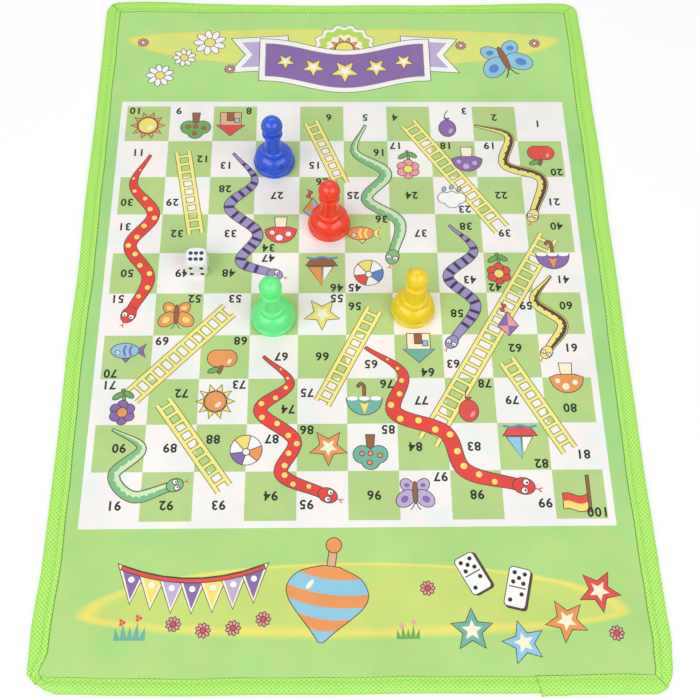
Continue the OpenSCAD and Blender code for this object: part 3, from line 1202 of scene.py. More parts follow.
@dataclass
class BoardPrint:
    """The printed design: border, glows, ornaments, numbered squares, ladders and snakes."""

    width: float
    length: float
    corner: float
    square: float
    shift: float
    count: int = 10
    panel_margin: float = 3.6
    panel_corner: float = 0.6
    shade_bands: int = 10
    shade_from: float = 0.75
    shade_over: float = 0.35
    upside_down: float = 180.0
    picture: float = 9.6
    enough_room: float = 1.15
    shift_cost: float = 1.5
    sketch: Sketch = field(default_factory=Sketch)

    def spot_of(self, place: Point) -> Vector:
        """Takes a place in squares from the far left corner to the sheet."""
        half = self.count / 2
        return Vector(((place[0] - half) * self.square + self.shift, (half - place[1]) * self.square))

    def draw(self) -> Sketch:
        """Draws everything in order, from the ground up.

        Returns:
            The drawing.
        """
        self.draw_ground()
        for glow in GLOWS:
            glow.draw(self.sketch)
        for draw, spot, size, turn, first, second in ORNAMENTS:
            draw(Motif(self.sketch, Vector(spot), size, turn, first, second))
        self.draw_squares()
        for figure in (*LADDERS, *SNAKES):
            figure.draw(self.sketch, self.spot_of)
        for place, (draw, first, second) in PICTURES.items():
            middle = self.spot_of(place)
            draw(Motif(self.sketch, middle, self.picture, self.upside_down, first, second))
            self.sketch.take(middle, self.picture)
        self.draw_numbers()
        return self.sketch

    def draw_ground(self) -> None:
        """Draws the border, with bands that shade it towards both ends, and the white panel."""
        outline = round_rectangle(self.width, self.length, self.corner)
        self.sketch.fill(outline, Ink.BORDER)
        grid_end = self.square * self.count / 2
        for way, ink in ((1, Ink.FAR_FIELD), (-1, Ink.NEAR_FIELD)):
            for step in range(self.shade_bands):
                share = (step + 1) / self.shade_bands
                low = grid_end * (self.shade_from + self.shade_over * share)
                band = [Vector((spot.x, max(spot.y, low) * way)) for spot in outline]
                self.sketch.fill(band[::way], blended(Ink.BORDER.value, ink.value, share))
        side = 2 * (grid_end + self.panel_margin)
        panel = round_rectangle(side, side, self.panel_corner, 2)
        self.sketch.fill([spot + Vector((self.shift, 0)) for spot in panel], Ink.PANEL)

    def draw_squares(self) -> None:
        """Draws the chequered squares."""
        for row in range(self.count):
            for column in range(self.count):
                corners = [(column, row + 1), (column + 1, row + 1), (column + 1, row), (column, row)]
                ink = Ink.PALE_SQUARE if (row + column) % 2 else Ink.GREEN_SQUARE
                self.sketch.fill([self.spot_of(corner) for corner in corners], ink)

    def worth(self, spot: Vector, shift: Point, height: float) -> float:
        """Weighs a number's spot by its free room and its shift from the middle of the square."""
        room = min(self.sketch.room(spot), self.enough_room * height)
        return room - self.shift_cost * math.hypot(*shift)

    def draw_numbers(self) -> None:
        """Draws each square's number in its middle or, where that is taken, at the freest spot near it.

        Rows run to and fro from the far right corner.
        """
        numerals = Numerals()
        shifts = [(x, y) for x in (0.0, -0.16, 0.16, -0.31, 0.31) for y in (0.0, -0.18, 0.18, -0.37, 0.37)]
        for row in range(self.count):
            for column in range(self.count):
                spots = [(self.spot_of((column + 0.5 + x, row + 0.5 + y)), (x, y)) for x, y in shifts]
                best, _ = max(spots, key=lambda choice: self.worth(*choice, numerals.height))
                number = row * self.count + (column + 1 if row % 2 else self.count - column)
                numerals.draw(self.sketch, number, best, self.upside_down)


GLOWS = (
    Glow((0, 181), 270, 23, 9, 1, Ink.FAR_FIELD, Ink.GLOW_FAR),
    Glow((1, -174), 264, 25, 12, -1, Ink.NEAR_FIELD, Ink.GLOW_NEAR),
)

ORNAMENTS = (
    (Motif.rosette, (0, 173), 19, 180, Ink.YELLOW, Ink.ORANGE),
    (Motif.ribbon, (0, 160), 11.3, 180, Ink.YELLOW, Ink.WHITE),
    (Motif.daisy, (-112, 152), 8.5, 180, Ink.WHITE, Ink.YELLOW),
    (Motif.daisy, (-98, 166), 7, 180, Ink.WHITE, Ink.YELLOW),
    (Motif.daisy, (-83, 178), 10, 180, Ink.WHITE, Ink.YELLOW),
    (Motif.butterfly, (98, 166), 16, 198, Ink.SKY, Ink.BLUE),
    *(
        (Motif.daisy, spot, 3.2, 180, Ink.PINK, Ink.CREAM)
        for spot in ((-70, 157), (72, 176), (118, 178), (-124, 178))
    ),
    (Motif.pennants, (-76, -151), 1, 0, Ink.CREAM, Ink.RED),
    (Motif.tufts, (-104, -183), 8, 0, Ink.TEAL, Ink.RED),
    (Motif.tufts, (26, -184), 6, 0, Ink.LEAF, Ink.PINK),
    (Motif.top, (-12, -165), 21, -8, Ink.ORANGE, Ink.SKY),
    (Motif.domino, (58, -155), 8.2, 28, Ink.WHITE, Ink.NUMBER),
    (Motif.domino, (79, -162), 8.2, -14, Ink.WHITE, Ink.NUMBER),
    (Motif.star, (56, -182), 10, 0, Ink.TEAL, Ink.CREAM),
    (Motif.star, (80, -188), 10, 14, Ink.SKY, Ink.CREAM),
    (Motif.star, (101, -178), 10, 28, Ink.ORANGE, Ink.CREAM),
    (Motif.star, (118, -164), 10, 42, Ink.RED, Ink.CREAM),
    *(
        (Motif.daisy, spot, 3.4, 0, Ink.PINK, Ink.RED)
        for spot in ((-84, -178), (-70, -181), (-56, -180), (-42, -176), (36, -162), (124, -184))
    ),
)

LADDERS = (
    Ladder((6.5, 0.5), (8.45, 3.4)),
    Ladder((1.35, 1.3), (1.75, 3.5), 9.0),
    Ladder((4.25, 0.45), (4.95, 2.2), 8.6),
    Ladder((9.45, 3.6), (6.6, 8.4), 11.0),
    Ladder((2.55, 5.4), (0.65, 7.4)),
    Ladder((5.6, 5.4), (4.5, 7.55), 9.0),
    Ladder((1.3, 7.5), (2.6, 9.35), 9.0),
    Ladder((8.3, 6.6), (9.4, 8.6), 9.0),
)

SNAKES = (
    Snake(SnakeCoat.SPOTTED, 6.6, ((0.62, 1.4), (0.3, 2.2), (0.8, 3.0), (0.35, 3.8), (0.8, 4.6), (0.5, 5.4))),
    Snake(
        SnakeCoat.SPOTTED, 7.4,
        ((5.4, 6.3), (6.15, 6.9), (5.95, 7.75), (6.95, 8.2), (7.3, 9.0), (8.3, 9.3)),
    ),
    Snake(
        SnakeCoat.SPOTTED, 6.4,
        ((3.3, 6.5), (3.85, 7.1), (3.25, 7.7), (3.95, 8.35), (3.7, 9.05), (4.5, 9.45)),
    ),
    Snake(
        SnakeCoat.BELLIED, 6.2,
        ((5.5, 0.55), (5.25, 1.3), (5.95, 1.9), (5.5, 2.6), (6.2, 3.2), (6.05, 4.0)),
    ),
    Snake(SnakeCoat.BELLIED, 5.6, ((0.35, 8.1), (0.95, 8.5), (0.45, 9.05), (0.85, 9.5), (1.55, 9.3))),
    Snake(SnakeCoat.BANDED, 5.6, ((2.5, 1.35), (3.0, 2.1), (2.45, 2.8), (3.1, 3.5), (2.75, 4.2), (3.4, 4.5))),
    Snake(SnakeCoat.BANDED, 5.4, ((7.3, 3.3), (7.8, 3.95), (7.2, 4.6), (7.75, 5.3), (7.25, 6.1))),
    Snake(SnakeCoat.BACKED, 5.6, ((8.05, 0.55), (8.8, 0.85), (8.65, 1.65), (9.45, 2.05), (9.2, 2.95))),
    Snake(SnakeCoat.BACKED, 5.2, ((9.4, 4.6), (9.0, 5.2), (9.55, 5.75), (9.2, 6.35))),
)

PICTURES = {
    (0.5, 0.55): (Motif.sun, Ink.YELLOW, Ink.ORANGE),
    (2.4, 0.5): (Motif.house, Ink.TAN, Ink.RED),
    (7.4, 0.5): (Motif.balloon, Ink.PURPLE, Ink.LILAC),
    (9.5, 1.35): (Motif.apple, Ink.RED, Ink.PINK),
    (6.45, 1.65): (Motif.flower, Ink.PINK, Ink.YELLOW),
    (4.3, 2.75): (Motif.kite, Ink.SKY, Ink.ORANGE),
    (1.6, 0.55): (Motif.tree, Ink.LEAF, Ink.RED),
    (3.6, 3.4): (Motif.mushroom, Ink.RED, Ink.WHITE),
    (5.4, 3.5): (Motif.fish, Ink.ORANGE, Ink.YELLOW),
    (7.4, 2.5): (Motif.cloud, Ink.WHITE, Ink.SKY),
    (9.5, 4.05): (Motif.umbrella, Ink.PURPLE, Ink.ORANGE),
    (4.5, 4.45): (Motif.boat, Ink.BROWN, Ink.ORANGE),
    (5.5, 4.5): (Motif.ball, Ink.RED, Ink.BLUE),
    (1.45, 5.5): (Motif.butterfly, Ink.ORANGE, Ink.YELLOW),
    (4.5, 5.5): (Motif.star, Ink.YELLOW, Ink.CREAM),
    (0.5, 6.35): (Motif.fish, Ink.SKY, Ink.PURPLE),
    (2.45, 6.55): (Motif.apple, Ink.ORANGE, Ink.CREAM),
    (8.4, 5.65): (Motif.kite, Ink.PINK, Ink.PURPLE),
    (6.5, 6.3): (Motif.house, Ink.CREAM, Ink.TEAL),
    (9.5, 7.0): (Motif.mushroom, Ink.ORANGE, Ink.CREAM),
    (2.35, 7.5): (Motif.sun, Ink.ORANGE, Ink.YELLOW),
    (5.35, 7.45): (Motif.umbrella, Ink.TEAL, Ink.YELLOW),
    (7.45, 7.6): (Motif.balloon, Ink.RED, Ink.PINK),
    (0.5, 7.6): (Motif.flower, Ink.PURPLE, Ink.ORANGE),
    (5.45, 8.6): (Motif.tree, Ink.TEAL, Ink.ORANGE),
    (8.45, 8.4): (Motif.boat, Ink.RED, Ink.SKY),
    (3.0, 8.55): (Motif.ball, Ink.PURPLE, Ink.ORANGE),
    (6.3, 9.45): (Motif.butterfly, Ink.LILAC, Ink.PURPLE),
    (9.45, 9.5): (Motif.flag, Ink.RED, Ink.YELLOW),
    (8.3, 4.4): (Motif.flower, Ink.RED, Ink.YELLOW),
    (4.62, 8.5): (Motif.star, Ink.ORANGE, Ink.CREAM),
    (7.8, 1.5): (Motif.mushroom, Ink.PURPLE, Ink.LILAC),
}


@dataclass
class Layers:
    """The two cloths and the felt between them."""

    width: float
    length: float
    print_low: float
    print_high: float
    flat_margin: float = 9.8
    rise: float = 1.2
    press: float = 0.45
    backing: float = 0.5
    corner: float = 9.0
    least_corner: float = 0.4
    corner_steps: int = 10
    weld: float = 1e-5
    level_slack: float = 0.01
    felt_edge: float = 0.2
    map_margin: float = 0.01
    map_share: float = 0.98
    under_share: float = 0.3
    under_at: float = 0.74

    def __post_init__(self) -> None:
        """Works out where the backing's rise onto the tape ends, and its upper side's height there."""
        self.foot = self.flat_margin - self.rise
        self.high = self.press + self.backing

    def lofted(self, name: str, rings: Sequence[Point], material: bpy.types.Material) -> bpy.types.Object:
        """Makes a closed layer from rings, each the sheet's outline drawn in by an amount.

        Args:
            name: The piece's name.
            rings: How far each ring is drawn in, and its height.
            material: The material.

        Returns:
            The piece.
        """
        points = []
        for inset, height in rings:
            radius = max(self.least_corner, self.corner - inset)
            sides = self.width - 2 * inset, self.length - 2 * inset
            loop = round_rectangle(*sides, radius, self.corner_steps)
            points += [(spot.x, spot.y, height) for spot in loop]
        return mesh_piece(name, points, tube_faces(len(rings), len(loop)), material, False)

    def make_backing(self) -> bpy.types.Object:
        """Makes the cloth underneath, which rises onto the tape all round.

        Returns:
            The piece.
        """
        under = [(self.flat_margin, 0.0), (self.foot, self.press), (0.0, self.press)]
        over = [(0.0, self.high), (self.foot, self.high), (self.flat_margin, self.backing)]
        return self.lofted("backing_cloth", under + over, BackingCloth().material())

    def make_felt(self) -> bpy.types.Object:
        """Makes the felt, which fills the space between the cloths.

        Returns:
            The piece.
        """
        edge = self.felt_edge
        rings = [(self.flat_margin, self.backing), (self.foot, self.high), (edge, self.high)]
        rings += [(0.0, self.high + edge), (0.0, self.print_low - edge), (edge, self.print_low)]
        return self.lofted("felt_core", rings, NEEDLED_FELT.material())

    def make_print(self, square: float, shift: float) -> bpy.types.Object:
        """Makes the printed cloth as one mesh that is cut along the edges of its inks.

        Args:
            square: The side of a printed square.
            shift: How far the squares lie to the right of the mat's middle.

        Returns:
            The piece.
        """
        sketch = BoardPrint(self.width, self.length, self.corner, square, shift).draw()
        corners: list[Vector] = []
        outlines = []
        for outline, _ in sketch.patches:
            outlines.append(list(range(len(corners), len(corners) + len(outline))))
            corners.extend(outline)
        inside_only = 1
        spots, _, faces, _, _, sources = delaunay_2d_cdt(corners, [], outlines, inside_only, self.weld)
        tints = [linear(sketch.patches[max(source)][1]) for source in sources]
        edges = [edge for face in faces for edge in zip(face, face[1:] + face[:1])]
        counts = Counter(frozenset(edge) for edge in edges)
        rim = {a: b for a, b in edges if counts[frozenset((a, b))] == 1}
        loop = [next(iter(rim))]
        while rim[loop[-1]] != loop[0]:
            loop.append(rim[loop[-1]])
        low = {vertex: len(spots) + k for k, vertex in enumerate(loop)}
        points = [(spot.x, spot.y, self.print_high) for spot in spots]
        points += [(spots[vertex].x, spots[vertex].y, self.print_low) for vertex in loop]
        shown = [tuple(face) for face in faces]
        sides = [(b, a, low[a], low[b]) for a, b in rim.items()]
        underside = [tuple(low[vertex] for vertex in reversed(loop))]
        finish = PrintedCloth().material()
        piece = mesh_piece("printed_cloth", points, shown + sides + underside, finish, False)
        self.lay_inks(piece.data, tints)
        return piece

    def lay_inks(self, mesh: bpy.types.Mesh, tints: list[Linear]) -> None:
        """Gives each face its ink, and the sheet a flat map with its underside in a corner.

        Args:
            mesh: The printed cloth.
            tints: The ink of each face of its upper side, which come first.
        """
        plain = linear(Ink.PANEL)
        ink = mesh.color_attributes.new("ink", "FLOAT_COLOR", "CORNER")
        flat = mesh.uv_layers.new(name="OFBake")
        for face in mesh.polygons:
            top = face.index < len(tints)
            scale = self.map_share / self.length * (1.0 if top else self.under_share)
            for corner in face.loop_indices:
                ink.data[corner].color = tints[face.index] if top else plain
                spot = mesh.vertices[mesh.loops[corner].vertex_index].co / MM
                u = self.map_margin + (spot.x + self.width / 2) * scale + (0.0 if top else self.under_at)
                v = self.map_margin + (spot.y + self.length / 2) * scale
                under = not top and spot.z <= self.print_low + self.level_slack
                flat.data[corner].uv = (u, v + (self.map_margin if under else 0.0))


@dataclass(frozen=True)
class HandSewing:
    """How the sewn edges stray from straight lines, as places along a side and how far out it lies there."""

    half_width: float
    half_length: float
    right: tuple[Point, ...] = (
        (-206, -1.6), (-197, 0.1), (-185, 1.2), (-165, 0.6), (-150, 0.2), (-75, -0.3), (0, 0.0), (100, 0.4),
        (170, -0.3), (206, -0.8),
    )
    left: tuple[Point, ...] = (
        (-206, 1.3), (-180, 1.6), (-150, 0.3), (-95, -0.3), (-45, 0.2), (20, -0.6), (80, 0.0), (120, -0.4),
        (170, 0.1), (206, 0.3),
    )
    back: tuple[Point, ...] = (
        (-148, 1.4), (-125, 2.1), (-110, 1.9), (-85, 0.6), (-60, -0.4), (-20, -0.7), (40, -0.4), (80, 0.1),
        (130, 1.7), (148, 1.1),
    )
    front: tuple[Point, ...] = (
        (-148, -1.3), (-133, -1.0), (-110, -0.2), (-70, 0.3), (0, 0.3), (90, 0.7), (112, 1.7), (148, 1.7),
    )

    @staticmethod
    def at(knots: Sequence[Point], place: float) -> float:
        """Gives the smooth height between knots at a place.

        Args:
            knots: Places and the heights there, in order.
            place: The place looked at.

        Returns:
            The height, which stays level beyond both ends.
        """
        for (first, low), (second, high) in zip(knots, knots[1:]):
            if place < second:
                return low + (high - low) * smooth_step(first, second, place)
        return knots[-1][1]

    def moved(self, spot: Vector) -> Vector:
        """Gives where a point of the straight tape lies on the sewn mat.

        Args:
            spot: The point, from the mat's middle.

        Returns:
            The point moved sideways.
        """
        x, y = spot.x / self.half_width, spot.y / self.half_length
        beside = self.at(self.right if x > 0 else self.left, spot.y) * x ** 3
        beyond = self.at(self.back if y > 0 else self.front, spot.x) * y ** 3
        return spot + Vector((beside, beyond, 0.0))


@dataclass(frozen=True)
class EdgeRun:
    """The tape along one edge. Places along it are measured from the edge's middle."""

    name: str
    node: str
    facing: float
    reach: float
    start: float
    end: float
    start_corner: bool = True
    end_corner: bool = True
    start_cut: float = 0.0
    end_cut: float = 0.0
    start_dip: float = 0.0
    thin: float = 0.2
    # Strength of the painted shade along the inner cut edge.
    edge_shade: float = 1.0
    seam: float = 3.0
    widths: tuple[Point, ...] = ((0.0, 0.0), (1.0, 0.0))
    seed: float = 0.0
    lapped: bool = False

    def spin(self) -> Matrix:
        """Gives the turn from an edge that faces right to this one."""
        return Matrix.Rotation(math.radians(self.facing), 3, "Z")


@dataclass
class Shell:
    """One closed stretch of tape: a tube of columns and rows, with each point's place on the tape and its
    painted shade.
    """

    columns: int
    rows: int
    points: list[Vector]
    marks: list[Triple]

    def bands(self, wide: int) -> int:
        """Gives how many rows of a flat map the shell takes, at so many columns each."""
        return -(-(self.columns - 1) // wide)

    def flat(self, wide: int, first: int, total: int) -> list[Point]:
        """Lays the faces out on a flat map, in the order of tube_faces.

        Args:
            wide: How many columns lie side by side.
            first: The first row of the map that the shell takes.
            total: How many rows the map has.

        Returns:
            A place on the map for each corner of each face.
        """
        filled, ends = 0.97, (0.0, 0.999)
        places = []
        for column in range(self.columns - 1):
            left = (column % wide) / wide
            right = left + 1 / wide
            low = (first + column // wide) / total
            for row in range(self.rows):
                under, over = (low + filled * (row + k) / self.rows / total for k in (0, 1))
                places += [(left, under), (left, over), (right, over), (right, under)]
        return places + [ends] * (2 * self.rows)


@dataclass
class Binding:
    """The tape folded round the mat's edge, with mitred corners and one lapped end."""

    half_width: float
    half_length: float
    thickness: float = 0.45
    top_width: float = 7.6
    under_width: float = 8.2
    print_high: float = 2.6
    corner: float = 8.6
    lap_end: float = 86.6
    lap_start: float = 96.5
    lap_fade: float = 102.0
    lap_slant: float = 0.26
    lap_sink: float = 0.04
    lap_curl: float = 0.3
    lap_bulge: float = 0.85
    lap_swell: Point = (112.0, 90.0)
    dot_depth: float = 0.16
    puff: float = 0.42
    puff_end: float = 1.4
    thin_reach: float = 0.9
    furrow_depth: float = 0.2
    furrow_half: float = 0.6
    # Strength of the painted shade in the seam's furrow and at the mitres.
    furrow_shade: float = 0.2
    mitre_shade: float = 0.4
    mitre_rise: float = 0.4
    cut_slack: float = 0.45
    under_inset: float = 2.3
    stitch: float = 3.3
    outer_wave: Point = (0.14, 12.3)
    inner_wave: Point = (0.12, 6.1)
    calm_reach: float = 40.0
    mitre_angle: float = 45.0
    mitre_turns: int = 10
    # Angles in degrees over which the painted shade at a mitre rises.
    mitre_shaded: Point = (37.0, 45.0)
    mitre_raised: Point = (6.0, 42.0)
    dip_reach: float = 6.0
    curl_reach: float = 3.0
    lap_settle: float = 1.0
    inner_skip: int = 3
    map_width: int = 160
    tape: EmbossedTape = EmbossedTape()
    right: tuple[Point, ...] = (
        (-201, 0.9), (-190, 1.3), (-167, 1.75), (-117, 2.0), (-63, 1.9), (-3, 1.7), (62, 2.1), (134, 2.1),
        (201, 1.2),
    )
    back: tuple[Point, ...] = (
        (-140, 1.2), (-129, 0.4), (-97, 0.0), (-60, -0.6), (20, -0.7), (60, -0.4), (88, 0.6), (121, 1.3),
        (140, 1.2),
    )
    left: tuple[Point, ...] = (
        (-201, 1.2), (-134, 0.95), (-62, 1.45), (-3, 1.35), (63, 1.05), (117, 1.6), (167, 1.7), (190, 1.2),
        (201, -2.0),
    )

    def __post_init__(self) -> None:
        """Works out the fold's radius and how finely the tape is cut into faces."""
        self.fold = (self.print_high + self.thickness) / 2
        self.step = self.tape.pitch_along / 4
        self.sewing = HandSewing(self.half_width, self.half_length)

    def runs(self) -> list[EdgeRun]:
        """Lists the five stretches of the tape, with how much wider each is along its edge.

        Returns:
            The stretches.
        """
        side, end = self.half_length - self.corner, self.half_width - self.corner
        wide, long, lap = self.half_width, self.half_length, self.lap_start
        flat = {"thin": 0.38, "edge_shade": 0.0, "seam": 1.9, "seed": 4.2}
        cut = {"end_corner": False, "start_cut": 1.0, "start_dip": 1.6}
        left = {"end_cut": 1.0, "widths": self.left, "seed": 2.9}
        lap_widths = (90, 0.8), (120, 1.4), (end - 15.4, 1.4), (end, 0.9)
        lapped = {"start_corner": False, "lapped": True, "widths": lap_widths}
        return [
            EdgeRun("tape_right", "binding_right", 0, wide, -side, side, widths=self.right, seed=0.4),
            EdgeRun("tape_back", "binding_back", 90, long, -end, end, seam=2.4, widths=self.back, seed=1.7),
            EdgeRun("tape_left", "binding_left", 180, wide, -side, side, **left),
            EdgeRun("tape_front_left", "binding_front_left", -90, long, -end, lap, **cut, **flat),
            EdgeRun("tape_front_right", "binding_front_right", -90, long, lap, end, **lapped, **flat),
        ]

    def sway(self, run: EdgeRun, along: float) -> Point:
        """Gives how far sewing moves the tape's outer and inner edges at a place.

        Args:
            run: The stretch of tape.
            along: The place along its edge.

        Returns:
            How far the outer edge lies outwards, and how much wider the tape is inwards.
        """
        half = self.half_length if run.reach == self.half_width else self.half_width
        inner = HandSewing.at(run.widths, along)
        if run.lapped:
            return self.lap_bulge * smooth_step(*self.lap_swell, along), inner
        calm = smooth_step(half - self.corner, half - self.calm_reach, abs(along))
        (tall, long), (inner_tall, inner_long) = self.outer_wave, self.inner_wave
        wave = calm * inner_tall * math.sin(along / inner_long + run.seed)
        return calm * tall * math.sin(along / long + 2 * run.seed), inner + wave

    def section(self, lift: float, extra: float, full: bool) -> Section:
        """Gives the tape's section, from the inner edge on top to the inner edge underneath.

        Args:
            lift: How far the tape is raised over what lies under it.
            extra: How much wider the tape is on top.
            full: Whether it goes on underneath, or stops at the table.

        Returns:
            For each point its distance from the outer edge, its height, the two parts of its normal,
            and its place across the tape.
        """
        radius = self.fold + lift
        leaf_rows, fold_rows, under_rows = 16, 12, 6
        rows = []
        leaf = self.top_width + extra - self.fold
        for k in range(leaf_rows):
            gone = leaf * (1 - k / leaf_rows)
            rows.append((self.fold + gone, self.fold + radius, 0.0, 1.0, -gone))
        last = math.pi if full else math.acos(-min(1.0, self.fold / radius))
        for k in range(fold_rows + 1):
            angle = last * k / fold_rows
            out, up = math.sin(angle), math.cos(angle)
            rows.append((self.fold - radius * out, self.fold + radius * up, -out, up, radius * angle))
        for k in range(1, under_rows + 1 if full else 1):
            gone = (self.under_width - self.fold) * k / under_rows
            rows.append((self.fold + gone, self.fold - radius, 0.0, -1.0, radius * math.pi + gone))
        return rows

    def columns(self, run: EdgeRun) -> list[Point]:
        """Gives the places where a stretch's section stands, each with its turn round a corner.

        Args:
            run: The stretch of tape.

        Returns:
            Places along the edge, and angles in degrees.
        """
        places = self.evenly(run.start, run.end)
        bends = [self.mitre_angle * (k + 1) / self.mitre_turns for k in range(self.mitre_turns)]
        before = [(run.start, -bend) for bend in bends[::-1]] if run.start_corner else []
        after = [(run.end, bend) for bend in bends] if run.end_corner else []
        return before + places + after

    def evenly(self, start: float, end: float) -> list[Point]:
        """Gives evenly spaced places along an edge, none of them turned."""
        count = round((end - start) / self.step)
        return [(start + (end - start) * k / count, 0.0) for k in range(count + 1)]

    def relief(self, run: EdgeRun, across: float, edge: float) -> float:
        """Gives how far the tape's outer skin stands proud of its plain section at a place across it.

        Args:
            run: The stretch of tape.
            across: The place across it.
            edge: The place of the inner edge on top.

        Returns:
            The height, below 0 in the furrow that the seam draws in and at the thinned edge.
        """
        share = min(1.0, max(0.0, (across - edge - run.seam) / (self.puff_end - edge - run.seam)))
        rise = self.puff * math.sin(math.pi * share) ** 2
        rise -= run.thin * smooth_step(edge + self.thin_reach, edge, across)
        return rise - self.furrow_depth * self.furrow(run, across, edge)

    def furrow(self, run: EdgeRun, across: float, edge: float) -> float:
        """Gives how far a place across the tape lies in the furrow that the seam draws in.

        Args:
            run: The stretch of tape.
            across: The place across it.
            edge: The place of the inner edge on top.

        Returns:
            1 in the middle of the furrow, and 0 away from it.
        """
        under_seam = self.fold * math.pi + self.under_width - self.fold - self.under_inset
        nearest = under_seam if across > 0 else edge + run.seam
        return math.exp(-((across - nearest) / self.furrow_half) ** 2)

    def drawn_in(self, run: EdgeRun, along: float, angle: float) -> Point:
        """Gives the outer edge and the extra width at a place, with a cut corner drawn in.

        Args:
            run: The stretch of tape.
            along: The place along its edge.
            angle: The turn round a corner there, in degrees.

        Returns:
            How far the outer edge lies outwards, and how much wider the tape is on top.
        """
        outer, extra = self.sway(run, along)
        turned = math.radians(angle)
        chord = self.corner - self.corner / (math.cos(turned) + abs(math.sin(turned)))
        cut = chord * (run.end_cut if angle > 0 else run.start_cut)
        near = smooth_step(run.start + self.dip_reach, run.start, along)
        dip = run.start_dip * near * math.cos(2 * turned)
        return outer - cut - dip, extra - max(0.0, cut - self.cut_slack * chord) - dip

    def shell(
        self, run: EdgeRun, places: Sequence[Point], raised: Callable[[float], float], full: bool
    ) -> Shell:
        """Builds one closed stretch of tape.

        Args:
            run: The stretch.
            places: Where its sections stand.
            raised: Gives how far it is raised at a place along the edge.
            full: Whether it goes on underneath.

        Returns:
            The stretch.
        """
        points, marks = [], []
        for along, angle in places:
            outer, extra = self.drawn_in(run, along, angle)
            cosine, sine = polar(1, angle)
            slant = 0.0 if full else self.lap_slant * smooth_step(self.lap_start, self.lap_end, along)
            # Painted shade at the mitred corners.
            mitre = self.mitre_shade * smooth_step(*self.mitre_shaded, abs(angle))
            rows = self.section(raised(along), extra, full)
            inner_edge, plain_edge = rows[0][4], self.fold - self.top_width - extra
            skins = [(row, True) for row in rows] + [(row, False) for row in rows[::-self.inner_skip]]
            for (inward, height, out, up, across), outside in skins:
                slide = along - slant * inward
                rho = self.corner - inward + outer
                y = slide + rho * sine
                place = across - rho * (1 - cosine) if angle else across
                rise = -self.thickness
                if outside:
                    rise = self.relief(run, across, plain_edge) - self.dot_depth * self.tape.lattice(y, place)
                    rise += self.mitre_rise * smooth_step(*self.mitre_raised, angle) * max(0.0, up)
                ahead = rho - out * rise
                straight = Vector((
                    run.reach - self.corner + ahead * cosine,
                    slide + ahead * sine,
                    max(0.0, height + up * rise),
                ))
                points.append(self.sewing.moved(run.spin() @ straight))
                # Painted shade for the material: light along the seam's furrow, darkest at the inner cut
                # edge, and at the mitres.
                painted_shade = self.furrow_shade * self.furrow(run, across, inner_edge)
                if across == inner_edge:
                    painted_shade = run.edge_shade
                marks.append((y, place, max(mitre, painted_shade)))
        return Shell(len(places), len(points) // len(places), points, marks)

    def build(self) -> list[tuple[EdgeRun, bpy.types.Object]]:
        """Makes the five pieces of tape.

        Returns:
            Each stretch and its piece.
        """
        material = self.tape.material()
        pieces = []
        for run in self.runs():
            shells = [self.shell(run, self.columns(run), lambda along: 0.0, True)]
            if run.lapped:
                lapped = self.evenly(self.lap_end, self.lap_fade)
                shells.append(self.shell(run, lapped, self.lap_height, False))
            pieces.append((run, self.join(run.name, shells, material)))
        return pieces

    def lap_height(self, along: float) -> float:
        """Gives how far the lapped end is raised; it sinks into the tape where the two run on as one.

        Args:
            along: The place along the edge.

        Returns:
            The height, largest where the cut end curls up.
        """
        flat = self.thickness * smooth_step(self.lap_fade, self.lap_start + self.lap_settle, along)
        sunk = self.lap_sink * smooth_step(self.lap_fade - self.lap_settle, self.lap_fade, along)
        curl = self.lap_curl * smooth_step(self.lap_end + self.curl_reach, self.lap_end, along)
        return flat - sunk + curl

    def unfolded(self) -> float:
        """Gives the width of the tape laid flat."""
        leaves = self.top_width + self.under_width - 2 * self.fold
        return leaves + math.pi * (self.fold - self.thickness / 2)

    def length_of(self, run: EdgeRun) -> float:
        """Gives the length of a stretch laid flat, with half of each corner and the lapped end."""
        corners = self.corner * (run.start_corner + run.end_corner) * 0.5
        return run.end - run.start + corners + (self.lap_start - self.lap_end if run.lapped else 0.0)

    def join(self, name: str, shells: Sequence[Shell], material: bpy.types.Material) -> bpy.types.Object:
        """Joins the shells of a stretch into one piece, with its places, its painted shade and a flat map.

        Args:
            name: The piece's name.
            shells: The closed stretches.
            material: The material.

        Returns:
            The piece.
        """
        points, faces, marks, flat = [], [], [], []
        total = sum(shell.bands(self.map_width) for shell in shells) + 1
        band = 0
        for shell in shells:
            faces += tube_faces(shell.columns, shell.rows, len(points))
            points += shell.points
            marks += shell.marks
            flat += shell.flat(self.map_width, band, total)
            band += shell.bands(self.map_width)
        piece = mesh_piece(name, points, faces, material)
        mesh = piece.data
        for index, label in enumerate(("along", "across", "painted_shade")):
            values = [mark[index] for mark in marks]
            mesh.attributes.new(label, "FLOAT", "POINT").data.foreach_set("value", values)
        layer = mesh.uv_layers.new(name="OFBake")
        layer.data.foreach_set("uv", [value for place in flat for value in place])
        return piece


